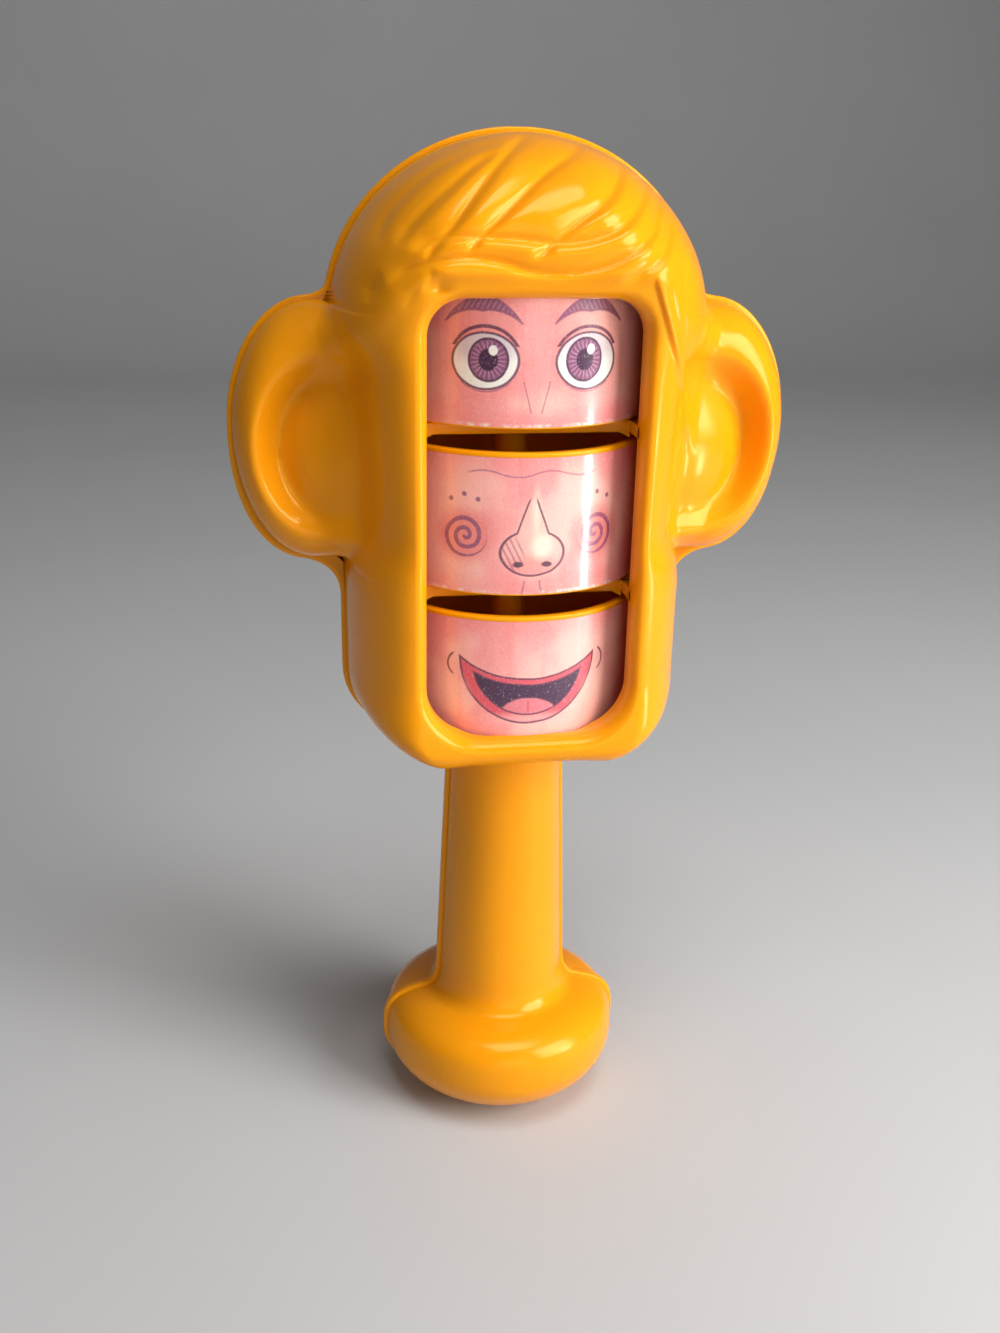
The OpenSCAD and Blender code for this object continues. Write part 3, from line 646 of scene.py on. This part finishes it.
def gusset(x0, x1, y, z):
    # a little web in the corner between a shelf and the window's side wall
    tri = np.array([(x0, z + 0.1), (x1, z + 0.1), (x0, z - 0.9)])
    rings = [np.c_[tri[:, 0], np.full(3, y), tri[:, 1]], np.c_[tri[:, 0], np.full(3, y + 2.5), tri[:, 1]]]
    points, faces = loops(rings)
    return points, faces + [(0, 1, 2), (5, 4, 3)]


def boss(shape, p, front):
    # a peg on the front half, or the socket for it in the rear half
    x, z = p
    ring = [(x + BOSS_R * math.cos(a), z + BOSS_R * math.sin(a)) for a in np.linspace(0, 2 * np.pi, 9)]
    form = front_form if front else rear_form
    t = MID_WALL
    rows = body_rows(t, 1)
    depth = min(float(form(np.array(a), np.array(b), t, width_at(b, rows))) for a, b in ring)
    y0, y1 = (-depth, SEAM_Y) if front else (depth, SEAM_Y)
    way = 1 if front else -1
    profile = [(0, y0), (BOSS_R, y0), (BOSS_R, y1)]
    if front:
        profile += [(PEG_R, y1), (PEG_R, y1 + PEG_LEN - 0.3), (PEG_R - 0.3, y1 + PEG_LEN), (0, y1 + PEG_LEN)]
    else:
        bore, deep = PEG_R + SEAT_FIT, y1 + PEG_LEN + 0.5
        profile += [(bore, y1), (bore, deep), (0, deep)]
    points, faces = lathe(profile, 32, closed=False)
    points = np.array(points)
    shape.add(np.stack([points[:, 0] + x, points[:, 2], points[:, 1] * way + z], axis=1), faces)


def half_disc(front):
    # half of the bulkhead that keeps the pellets in the foot
    r = handle_r(BULKHEAD_Z) - MID_WALL
    a = np.linspace(math.pi, 2 * math.pi, 25) if front else np.linspace(0, math.pi, 25)
    outline = [(r * math.cos(v), r * math.sin(v)) for v in a]
    outline = [(x * 0.999, min(y, SEAM_Y) if front else max(y, SEAM_Y)) for x, y in outline]
    return prism(outline, BULKHEAD_Z, BULKHEAD_Z + WALL, 0.1)


def back_housing():
    shape = Shape()
    n, q = 84, 3
    outer = skin(body_rows(RIM_STEP, q), n, RIM_STEP, False, -SEAM_Y)
    inner = skin(body_rows(RIM_STEP + WALL, q), n, RIM_STEP + WALL, False, -SEAM_Y)
    m = outer.shape[0]
    shape.add(outer.reshape(-1, 3), grid_faces(m, 2 * n + 1))
    shape.add(inner.reshape(-1, 3), grid_faces(m, 2 * n + 1, True))

    def ring(t, y):
        r = edge(skin(body_rows(t, q), n, t, False, 0)).copy()
        r[:, 1] = np.where(r[:, 2] < 0.01, -SEAM_Y * np.clip(y / abs(SEAM_Y), -1, 1), y)
        return r

    top, low = -SEAM_Y, SEAM_Y
    rings = [edge(outer)]
    rings += [ring(RIM_EASE, top), ring(0.1, top - 0.12), ring(0, top - 0.4), ring(0, low + 0.4),
              ring(0.1, low + 0.12), ring(RIM_EASE, low), ring(RIM_STEP + WALL, low)]
    rings.append(edge(inner))
    shape.add(*loops(rings))
    for i in range(4):
        shelf(shape, i, False)
    for p in PEGS:
        boss(shape, p, False)
    shape.add(*half_disc(False))
    return shape


def drum_floor(i):
    return DRUM_Z + i * DRUM_PITCH


def drum_shape(i):
    # an open cup with a hub; its wall steps in for the sleeve
    body = DRUM_R - LABEL_T
    cup = body - DRUM_WALL
    bore = AXLE_R + RUN_FIT
    outline = [
        (bore, 0, 1), (DRUM_R, 0, 1), (DRUM_R, LABEL_FOOT, 0), (body, LABEL_FOOT, 0),
        (body, DRUM_H - LABEL_LIP, 0), (DRUM_R, DRUM_H - LABEL_LIP, 0.4), (DRUM_R, DRUM_H, 1.6),
        (cup, DRUM_H, 1.6), (cup, WEB_T, 4), (HUB_R, WEB_T, 3),
        (HUB_R, HUB_H, 1), (bore, HUB_H, 1)
    ]
    shape = Shape()
    shape.add(*lathe(rounded(outline, 0.22), 224, drum_floor(i)))
    return shape


def label_shape(i):
    # a printed sleeve, whose ends meet at the back
    n = 240
    a = np.linspace(-math.pi, math.pi, n + 1)
    r0, r1 = DRUM_R - LABEL_T, DRUM_R
    z0, z1 = drum_floor(i) + LABEL_FOOT, drum_floor(i) + DRUM_H - LABEL_LIP
    zs = np.linspace(z0, z1, 9)
    shape = Shape()
    rings = []
    for r, z in [(r0, z0)] + [(r1, z) for z in zs] + [(r0, z1), (r0, z0)]:
        rings.append(np.stack([r * np.sin(a), -r * np.cos(a), np.full(n + 1, z)], axis=1))
    shape.add(*loops(rings, closed=False))
    return shape


def axle_shape():
    low = shelf_top(0) - SHELF_T - AXLE_TAIL
    top = shelf_top(3)
    outline = [(0, low, 0), (AXLE_R, low, 1), (AXLE_R, top, 0), (AXLE_HEAD_R, top, 1),
               (AXLE_HEAD_R, top + AXLE_HEAD_T, 1.5), (0, top + AXLE_HEAD_T, 0)]
    shape = Shape()
    shape.add(*lathe(rounded(outline, 0.3), 64, closed=False))
    return shape


def pellet_shape():
    shape = Shape()
    places = [(0, 0)]
    for ring, count in ((PELLET_RING / 2, 6), (PELLET_RING, PELLET_COUNT)):
        for a in np.arange(count) * 2 * math.pi / count:
            places.append((ring * math.cos(a), ring * math.sin(a)))
    ball = np.linspace(-math.pi / 2, math.pi / 2, 17)
    arc = [(PELLET_R * math.cos(a), PELLET_R * math.sin(a)) for a in ball]
    for x, y in places:
        points, faces = lathe(arc, 32, WALL + PELLET_R + REST_GAP, closed=False)
        shape.add(points + np.array([x, y, 0]), faces)
    return shape


# Node materials
class Value:
    # a number in a node tree, with the usual arithmetic
    def __init__(self, art, socket):
        self.art, self.socket = art, socket

    def __add__(self, o):
        return self.art.math("ADD", self, o)

    def __radd__(self, o):
        return self.art.math("ADD", o, self)

    def __sub__(self, o):
        return self.art.math("SUBTRACT", self, o)

    def __rsub__(self, o):
        return self.art.math("SUBTRACT", o, self)

    def __mul__(self, o):
        return self.art.math("MULTIPLY", self, o)

    def __rmul__(self, o):
        return self.art.math("MULTIPLY", o, self)

    def __truediv__(self, o):
        return self.art.math("DIVIDE", self, o)

    def __neg__(self):
        return self.art.math("MULTIPLY", self, -1.0)


class Art:
    def __init__(self, material):
        self.tree = material.node_tree
        self.count = 0

    def node(self, kind):
        n = self.tree.nodes.new(kind)
        n.location = (-300 - 180 * (self.count % 40), 300 - 160 * (self.count // 40))
        self.count += 1
        return n

    def put(self, socket, v):
        if isinstance(v, Value):
            self.tree.links.new(v.socket, socket)
        elif v is not None:
            socket.default_value = v

    def math(self, op, a, b=None, c=None):
        n = self.node("ShaderNodeMath")
        n.operation = op
        self.put(n.inputs[0], a)
        self.put(n.inputs[1], b)
        self.put(n.inputs[2], c)
        return Value(self, n.outputs[0])

    def abs(self, a):
        return self.math("ABSOLUTE", a)

    def min(self, a, b):
        return self.math("MINIMUM", a, b)

    def max(self, a, b):
        return self.math("MAXIMUM", a, b)

    def length(self, a, b):
        n = self.node("ShaderNodeCombineXYZ")
        self.put(n.inputs[0], a)
        self.put(n.inputs[1], b)
        v = self.node("ShaderNodeVectorMath")
        v.operation = "LENGTH"
        self.tree.links.new(n.outputs[0], v.inputs[0])
        return Value(self, v.outputs["Value"])

    def step(self, a, low, high, soft=True):
        n = self.node("ShaderNodeMapRange")
        n.interpolation_type = "SMOOTHSTEP" if soft else "LINEAR"
        self.put(n.inputs["Value"], a)
        self.put(n.inputs["From Min"], low)
        self.put(n.inputs["From Max"], high)
        return Value(self, n.outputs["Result"])

    def blend(self, a, b, s):
        n = self.node("ShaderNodeMix")
        n.data_type = "RGBA"
        self.put(n.inputs["Factor"], s)
        for key, v in (("A", a), ("B", b)):
            socket = [i for i in n.inputs if i.name == key and i.type == "RGBA"][0]
            if isinstance(v, Value):
                self.tree.links.new(v.socket, socket)
            else:
                socket.default_value = (*v, 1)
        return Value(self, [o for o in n.outputs if o.type == "RGBA"][0])

    def noise(self, scale, detail, rough, where):
        n = self.node("ShaderNodeTexNoise")
        self.tree.links.new(where.socket, n.inputs["Vector"])
        n.inputs["Scale"].default_value = scale
        n.inputs["Detail"].default_value = detail
        n.inputs["Roughness"].default_value = rough
        return Value(self, n.outputs["Fac"])

    def place(self):
        return Value(self, self.node("ShaderNodeTexCoord").outputs["Object"])

    def stretch(self, v, scale):
        n = self.node("ShaderNodeMapping")
        self.tree.links.new(v.socket, n.inputs["Vector"])
        n.inputs["Scale"].default_value = scale
        return Value(self, n.outputs[0])


def new_material(name):
    m = bpy.data.materials.new(name)
    m.use_nodes = True
    return m, Art(m), m.node_tree.nodes["Principled BSDF"]


def bump(art, shader, height, strength, distance):
    n = art.node("ShaderNodeBump")
    n.inputs["Strength"].default_value = strength
    n.inputs["Distance"].default_value = distance
    art.tree.links.new(height.socket, n.inputs["Height"])
    art.tree.links.new(n.outputs[0], shader.inputs["Normal"])


def plastic(name, colour, deep, pale, gloss=0.17):
    m, art, shader = new_material(name)
    where = art.place()
    cloud = art.noise(22, 3, 0.55, where)
    flow = art.noise(70, 3, 0.6, art.stretch(where, (1, 1, 0.25)))
    c = art.blend(colour, deep, art.step(cloud, 0.45, 0.75) * 0.3)
    c = art.blend(c, pale, art.step(flow, 0.5, 0.8) * 0.12)
    grime = art.noise(380, 4, 0.7, where)
    c = art.blend(c, (0.35, 0.12, 0.005), art.step(grime, 0.7, 0.8) * 0.12)
    art.tree.links.new(c.socket, shader.inputs["Base Color"])
    smear = art.noise(60, 5, 0.65, where)
    scratch = art.noise(700, 2, 0.5, art.stretch(where, (1, 1, 0.06)))
    rough = gloss + art.step(smear, 0.35, 0.75) * 0.08 + art.step(scratch, 0.62, 0.75) * 0.08
    art.tree.links.new(rough.socket, shader.inputs["Roughness"])
    shader.inputs["IOR"].default_value = 1.48
    shader.inputs["Specular IOR Level"].default_value = 0.42
    shader.inputs["Specular Tint"].default_value = (1, 0.84, 0.45, 1)
    shader.inputs["Subsurface Weight"].default_value = 0.25
    shader.inputs["Subsurface Radius"].default_value = (1.0, 0.35, 0.02)
    shader.inputs["Subsurface Scale"].default_value = 0.0035
    height = art.noise(1100, 3, 0.6, where) * 0.35 + art.noise(110, 2, 0.5, where) * 1.8
    bump(art, shader, height, 0.2, 0.00006)
    return m


# The printed pictures: face parts drawn with lines and fills, in millimetres round the
# drum (u) and up it (v). There are four panels round each drum.
SKIN, BLUSH, GLOW = (0.9, 0.34, 0.33), (0.8, 0.19, 0.18), (0.97, 0.56, 0.48)
INK, MAUVE, LILAC = (0.11, 0.035, 0.08), (0.25, 0.08, 0.17), (0.5, 0.33, 0.45)
LIPS, DARK, WHITE = (0.68, 0.08, 0.12), (0.06, 0.02, 0.06), (0.88, 0.86, 0.8)
PANEL = 2 * math.pi * DRUM_R / 4


class Picture:
    def __init__(self, art, u, v, base):
        self.art, self.u, self.v, self.colour = art, u, v, base
        self.number = art.math("FLOOR", (u + PANEL / 2) / PANEL)
        self.x = u - self.number * PANEL
        self.m = art.abs(self.x)
        self.panel = 1.0

    def choose(self, k):
        # 0 front, 1 right, -1 left, 2 back
        n = self.number if k < 2 else self.art.abs(self.number)
        self.panel = self.art.math("COMPARE", n, float(k), 0.5 if k < 2 else 0.4)

    def ellipse(self, x, y, a, b, mirror=True):
        u = (self.m if mirror else self.x) - x
        return (self.art.length(u / a, (self.v - y) / b) - 1.0) * min(a, b)

    def segment(self, x0, y0, x1, y1, mirror=True):
        u, v = (self.m if mirror else self.x) - x0, self.v - y0
        dx, dy = x1 - x0, y1 - y0
        s = self.art.math("DIVIDE", u * dx + v * dy, dx * dx + dy * dy)
        s = self.art.min(self.art.max(s, 0.0), 1.0)
        return self.art.length(u - s * dx, v - s * dy)

    def inside(self, d, soft=0.12):
        return self.art.step(d, soft, -soft)

    def above(self, y):
        return self.art.step(self.v, y - 0.1, y + 0.1)

    def paint(self, mask, colour, share):
        self.colour = self.art.blend(self.colour, colour, mask * self.panel * share)

    def fill(self, d, colour, share=1.0, soft=0.12, only=None):
        mask = self.inside(d, soft)
        self.paint(mask * only if only is not None else mask, colour, share)

    def stroke(self, d, width, colour=INK, share=0.9, only=None):
        mask = self.inside(self.art.abs(d) - width / 2, 0.1)
        self.paint(mask * only if only is not None else mask, colour, share)


def eyes_picture(p):
    art = p.art
    p.choose(0)
    p.fill(p.ellipse(8.8, -1.5, 7.5, 6.5), BLUSH, 0.35, 2.5)
    white = p.ellipse(8.8, -1.2, 5.6, 4.6)
    p.fill(white, WHITE)
    p.fill(p.ellipse(8.8, 1.5, 5.6, 3.0), LILAC, 0.5, 1.2, p.inside(white))
    iris = p.ellipse(8.2, -1.0, 3.3, 3.5)
    p.fill(iris, MAUVE)
    rays = art.math("SINE", art.math("ARCTAN2", p.v + 1.0, p.m - 8.2) * 22.0)
    p.fill(p.ellipse(8.2, -1.0, 2.9, 3.1), LILAC, 0.55, 0.5, art.step(rays, -0.2, 0.9))
    p.stroke(iris, 0.35, DARK)
    p.fill(p.ellipse(8.2, -1.0, 1.6, 1.8), DARK)
    p.fill(p.ellipse(9.3, 0.6, 0.75, 0.85, False), WHITE)
    p.fill(p.ellipse(-7.4, 0.6, 0.75, 0.85, False), WHITE)
    p.stroke(white, 0.38)
    p.stroke(p.ellipse(8.8, -1.6, 6.1, 6.0), 0.55, INK, 0.9, p.above(1.2))
    p.stroke(p.ellipse(8.8, 0.6, 6.6, 6.8), 0.25, MAUVE, 0.6, art.step(p.v, -4.6, -4.9))
    brow = art.abs(p.ellipse(9.2, -3.5, 9.4, 11.6)) - art.step(art.abs(p.m - 9.2), 7.2, 0.0, False) * 1.2
    hatch = art.math("SINE", (p.m + p.v * 0.6) * 7.0)
    p.fill(brow, MAUVE, 0.9, 0.15, p.above(4.8))
    p.fill(brow + 0.3, LILAC, 0.45, 0.2, p.above(4.8) * art.step(hatch, 0.1, 0.7))
    p.stroke(p.segment(0.9, -9.5, 2.2, -4.5), 0.25, MAUVE, 0.6)
    p.choose(1)
    lid = p.ellipse(8.6, -1.0, 5.4, 4.6)
    p.fill(lid, LILAC, 0.8)
    p.fill(lid, WHITE, 1.0, 0.12, art.step(p.v, -1.1, -1.3))
    p.fill(p.ellipse(8.6, -2.2, 2.0, 2.2), DARK, 1.0, 0.12, art.step(p.v, -1.1, -1.3))
    p.stroke(lid, 0.4)
    p.stroke(p.segment(3.2, -1.2, 14.0, -1.2), 0.5)
    p.stroke(p.segment(4.0, 6.4, 13.0, 7.4), 1.1, MAUVE)
    p.choose(-1)
    diamond = art.abs(p.m - 8.6) * 0.62 + art.abs(p.v + 0.8) * 0.78 - 4.0
    p.fill(diamond, WHITE)
    p.fill(p.ellipse(8.6, -0.8, 2.4, 2.6), MAUVE)
    p.fill(p.ellipse(8.6, -0.8, 1.1, 1.2), DARK)
    p.stroke(diamond, 0.4)
    p.stroke(diamond - 1.0, 0.25, MAUVE)
    p.choose(2)
    for r, c in ((5.0, WHITE), (3.6, LILAC), (2.2, MAUVE)):
        p.fill(p.ellipse(8.0, -0.5, r, r), c)
        p.stroke(p.ellipse(8.0, -0.5, r, r), 0.3)


def nose_picture(p):
    art = p.art
    p.choose(0)
    p.fill(p.ellipse(11.8, -1.8, 4.8, 4.6), BLUSH, 0.75, 1.8)
    from_middle = art.length(p.m - 11.8, p.v + 1.8)
    turns = from_middle / 1.7 + art.math("ARCTAN2", p.v + 1.8, p.m - 11.8) / (2 * math.pi)
    p.stroke(art.math("PINGPONG", turns, 0.5) * 1.7, 0.75, MAUVE, 0.85, art.step(from_middle, 4.1, 3.7))
    for x, y in ((9.6, 4.6), (12.0, 5.4), (14.4, 4.4)):
        p.fill(p.ellipse(x, y, 0.42, 0.42), MAUVE, 0.85)
    pear = art.min(p.ellipse(0, -4.6, 5.6, 4.0), art.max(p.m - (6.5 - p.v) * 0.36, -4.6 - p.v))
    below = art.step(p.v, 5.6, 4.2)
    p.fill(pear, GLOW, 0.45, 1.2, below)
    p.fill(p.ellipse(0, -7.4, 5.2, 2.2), BLUSH, 0.5, 1.2, p.inside(pear))
    p.fill(p.ellipse(1.6, -3.4, 1.7, 1.9, False), (0.97, 0.78, 0.62), 0.9, 1.1)
    p.fill(p.ellipse(0.5, 2.6, 0.6, 3.2, False), (0.97, 0.78, 0.62), 0.6, 0.6)
    hatch = art.math("SINE", (p.x + p.v * 0.5) * 6.0)
    shade = p.inside(pear) * art.step(hatch, 0.0, 0.7)
    p.fill(p.ellipse(-3.6, -4.8, 2.2, 3.0, False), MAUVE, 0.55, 0.6, shade)
    p.stroke(pear, 0.36, INK, 0.9, below)
    p.fill(p.ellipse(2.5, -6.6, 0.95, 0.5), DARK, 0.9)
    wave = art.math("SINE", p.x * 0.55) * 0.5
    p.stroke(p.v - 9.2 - wave, 0.3, MAUVE, 0.6, art.step(p.m, 12.0, 10.5))
    p.stroke(p.segment(1.3, -9.6, 1.7, -11.6), 0.28, MAUVE, 0.7)
    p.choose(1)
    tri = art.max(p.m - (4.0 - p.v) * 0.55, (-6.5) - p.v)
    p.fill(tri, GLOW)
    p.stroke(tri, 0.4)
    p.fill(p.ellipse(2.4, -5.2, 1.1, 0.7), DARK)
    p.choose(-1)
    long = p.ellipse(0, -1.0, 2.8, 8.5)
    p.fill(long, GLOW, 0.7)
    p.stroke(long, 0.36)
    p.fill(p.ellipse(9.0, -3.0, 3.0, 3.0), BLUSH, 0.7, 1.2)
    p.choose(2)
    dog = p.ellipse(0, 0.0, 6.0, 4.2)
    p.fill(dog, MAUVE)
    p.fill(p.ellipse(1.5, 1.4, 1.8, 1.0, False), LILAC, 0.8, 0.5)
    p.stroke(dog, 0.4)
    p.stroke(p.segment(0, -4.2, 0, -9.0), 0.4)


def mouth_picture(p):
    art = p.art
    p.choose(0)
    bowl = p.ellipse(0, 5.2, 12.6, 12.4)
    lid = p.ellipse(0, 13.4, 17.5, 12.2)
    lips = art.max(bowl, -lid)
    p.fill(lips, LIPS, 0.95)
    p.fill(p.ellipse(0, -6.4, 6.5, 0.9), (0.92, 0.42, 0.4), 0.8, 0.8)
    inner = art.max(p.ellipse(0, 4.8, 10.2, 10.4), -p.ellipse(0, 13.4, 17.9, 13.4))
    p.fill(inner, DARK)
    tongue = p.ellipse(0, -6.2, 5.4, 3.8)
    p.fill(tongue, (0.72, 0.2, 0.24), 1.0, 0.2, p.inside(inner))
    p.stroke(p.segment(0, -3.0, 0, -5.0), 0.3, LIPS, 0.9, p.inside(inner))
    p.stroke(lips, 0.36)
    p.stroke(inner, 0.3)
    p.stroke(p.ellipse(12.9, 3.4, 2.0, 2.2), 0.36, INK, 0.9, art.step(p.m, 13.6, 14.0))
    p.fill(p.ellipse(14.2, -2.5, 3.0, 3.4), GLOW, 0.6, 1.8)
    p.stroke(p.ellipse(0, -2.0, 9.0, 8.8), 0.25, MAUVE, 0.5, art.step(p.v, -10.2, -10.5))
    p.choose(1)
    ring = p.ellipse(0, -0.5, 4.6, 5.2)
    p.fill(ring, LIPS)
    p.fill(p.ellipse(0, -0.5, 2.4, 2.9), DARK)
    p.stroke(ring, 0.36)
    p.choose(-1)
    wave = art.math("SINE", p.x * 0.8) * 1.5
    bar = art.max(art.abs(p.v - wave) - 1.0, p.m - 11.0)
    p.fill(bar, LIPS)
    p.stroke(bar, 0.32)
    p.choose(2)
    bend = art.length(p.m, p.v - 10.0) - 11.8
    under = art.step(bend, 0.0, 0.3)
    tongue = p.ellipse(3.6, -3.4, 2.6, 3.8, False)
    p.fill(tongue, (0.72, 0.2, 0.24), 1.0, 0.12, under)
    p.stroke(p.segment(3.6, -1.6, 3.6, -4.4, False), 0.25, LIPS)
    p.stroke(tongue, 0.3, INK, 0.9, under)
    low = art.step(p.v, 3.4, 3.0)
    smile = art.abs(bend) - 0.8
    p.fill(smile, LIPS, 1.0, 0.12, low)
    p.stroke(smile, 0.3, INK, 0.9, low)


def printed(name, i, picture):
    # the sleeve's paper: its print, grain, worn lower edge and gloss film
    m, art, shader = new_material(name)
    where = art.place()
    parts = art.node("ShaderNodeSeparateXYZ")
    art.tree.links.new(where.socket, parts.inputs[0])
    x, y, z = (Value(art, o) for o in parts.outputs)
    wander = art.noise(180, 2, 0.5, where) - 0.5
    u = art.math("ARCTAN2", x, y * -1.0) * DRUM_R + wander * 0.35
    middle = drum_floor(i) + (LABEL_FOOT + DRUM_H - LABEL_LIP) / 2
    flat_v = z * 1000.0 - middle
    v = flat_v + (art.noise(210, 2, 0.5, where) - 0.5) * 0.35
    soft = art.noise(75, 2, 0.5, where)
    base = art.blend(SKIN, GLOW, art.step(soft, 0.42, 0.62) * 0.7)
    base = art.blend(base, BLUSH, art.step(art.abs(flat_v), 6.5, 13.0) * 0.45)
    streak = art.noise(260, 3, 0.6, art.stretch(where, (1, 1, 0.12)))
    base = art.blend(base, BLUSH, art.step(streak, 0.5, 0.75) * 0.35)
    p = Picture(art, u, v, base)
    picture(p)
    grain = art.noise(2600, 2, 0.6, where)
    c = art.blend(p.colour, (0.95, 0.8, 0.78), art.step(grain, 0.55, 0.75) * 0.2)
    c = art.blend(c, (0.35, 0.08, 0.12), art.step(grain, 0.45, 0.28) * 0.18)
    ragged = art.noise(500, 4, 0.7, where) * 2.2
    low = (LABEL_FOOT + LABEL_LIP - DRUM_H) / 2
    worn = art.step(flat_v, low + 0.75, low + 0.35) * art.step(ragged, 1.0, 1.5)
    c = art.blend(c, (0.8, 0.74, 0.68), worn * 0.85)
    nick = art.noise(90, 5, 0.75, where)
    c = art.blend(c, (0.86, 0.7, 0.62), art.step(nick, 0.7, 0.76) * 0.5)
    art.tree.links.new(c.socket, shader.inputs["Base Color"])
    film = art.noise(45, 4, 0.6, where)
    rough = art.step(film, 0.35, 0.7) * 0.12 + 0.16
    art.tree.links.new(rough.socket, shader.inputs["Roughness"])
    shader.inputs["Coat Weight"].default_value = 0.5
    shader.inputs["Coat Roughness"].default_value = 0.08
    shader.inputs["IOR"].default_value = 1.5
    ripple = art.noise(320, 4, 0.6, art.stretch(where, (1, 1, 0.5))) + art.noise(60, 2, 0.5, where) * 2.0
    bump(art, shader, ripple, 0.3, 0.00008)
    return m


# Stage, camera and light
DAYLIGHT, ROOM_LIGHT = (1, 0.98, 0.95), (1, 0.95, 0.88)


def aim(obj, right, up, ahead, place):
    rows = [(right[k], up[k], -ahead[k], place[k]) for k in range(3)]
    obj.matrix_world = Matrix(rows + [(0, 0, 0, 1)])
    bpy.context.scene.collection.objects.link(obj)


def area_light(name, place, target, size, power, colour):
    data = bpy.data.lights.new(name, "AREA")
    data.shape = "RECTANGLE"
    data.size, data.size_y = size
    data.energy = power
    data.color = colour
    way = np.array(target) - np.array(place)
    way = way / np.linalg.norm(way)
    side = np.cross(way, (0, 0, 1))
    side /= np.linalg.norm(side)
    aim(bpy.data.objects.new(name, data), side, np.cross(side, way), way, place)


def camera():
    # solved from the ruler, the drums' rims and the foot
    tilt, yaw, roll = math.radians(21.117), math.radians(9.5), math.radians(1.215)
    data = bpy.data.cameras.new("camera")
    data.sensor_width = 36
    data.lens = 37.27
    data.clip_start = 0.01
    right = np.array((math.cos(yaw), -math.sin(yaw), 0))
    ahead = np.array((math.cos(tilt) * math.sin(yaw), math.cos(tilt) * math.cos(yaw), -math.sin(tilt)))
    up = np.cross(right, ahead)
    rolled_right = right * math.cos(roll) + up * math.sin(roll)
    rolled_up = up * math.cos(roll) - right * math.sin(roll)
    obj = bpy.data.objects.new("camera", data)
    aim(obj, rolled_right, rolled_up, ahead, (-0.04270, -0.24796, 0.1904))
    bpy.context.scene.camera = obj


def stage():
    # a pale floor that bends up into a wall, a dim world and four soft lamps
    me = bpy.data.meshes.new("floor")
    w, back, high = 6.0, 0.9, 2.5
    rows = [(-3.0, 0.0), (back, 0.0)]
    for a in np.linspace(0, math.pi / 2, 12)[1:]:
        rows.append((back + 0.4 * math.sin(a), 0.4 - 0.4 * math.cos(a)))
    rows.append((back + 0.4, high))
    points = [(x, y, z) for y, z in rows for x in (-w, w)]
    faces = [(2 * i, 2 * i + 1, 2 * i + 3, 2 * i + 2) for i in range(len(rows) - 1)]
    me.from_pydata(points, [], faces)
    me.polygons.foreach_set("use_smooth", [True] * len(faces))
    m, art, shader = new_material("pale_floor")
    c = art.blend((0.56, 0.57, 0.59), (0.5, 0.51, 0.53), art.noise(6, 3, 0.5, art.place()))
    art.tree.links.new(c.socket, shader.inputs["Base Color"])
    shader.inputs["Roughness"].default_value = 0.6
    me.materials.append(m)
    obj = bpy.data.objects.new("floor", me)
    bpy.context.scene.collection.objects.link(obj)
    world = bpy.data.worlds.new("world")
    world.use_nodes = True
    world.node_tree.nodes["Background"].inputs["Color"].default_value = (1, 0.97, 0.92, 1)
    world.node_tree.nodes["Background"].inputs["Strength"].default_value = 0.15
    bpy.context.scene.world = world
    bpy.context.scene.view_settings.view_transform = "Standard"
    area_light("window_light", (0.43, -0.35, 0.33), (0, 0, 0.12), (0.34, 0.42), 4.5, DAYLIGHT)
    area_light("ceiling_light", (0.1, -0.3, 0.95), (0, 0, 0.1), (0.5, 0.4), 4.0, DAYLIGHT)
    area_light("low_window", (0.23, -0.15, 0.066), (0.01, -0.02, 0.128), (0.03, 0.07), 0.12, DAYLIGHT)
    area_light("front_fill", (0.12, -0.95, 0.22), (0, 0, 0.1), (0.5, 0.5), 1.0, ROOM_LIGHT)


stage()
camera()
yellow = plastic("yellow_plastic", (0.9, 0.33, 0.004), (0.84, 0.275, 0.002), (0.95, 0.4, 0.012))
amber = plastic("amber_plastic", (0.92, 0.34, 0.002), (0.86, 0.28, 0.0), (0.96, 0.4, 0.006), 0.3)
pellet_material = plastic("pellet_plastic", (0.8, 0.76, 0.66), (0.7, 0.66, 0.55), (0.9, 0.88, 0.8), 0.35)
make("front_housing", front_housing(), "housing", "front_shell", yellow, 50)
make("back_housing", back_housing(), "housing", "back_shell", yellow, 50)
make("axle_post", axle_shape(), "housing", "drum_axle", amber)
drums = (("mouth", "bottom_drum", mouth_picture), ("nose", "middle_drum", nose_picture),
         ("eyes", "top_drum", eyes_picture))
for i, (kind, body, picture) in enumerate(drums):
    make(kind + "_cup", drum_shape(i), body, kind + "_drum", amber)
    make(kind + "_print", label_shape(i), body, kind + "_label",
         printed(kind + "_picture", i, picture))
make("loose_pellets", pellet_shape(), "pellets", "rattle_pellets", pellet_material)
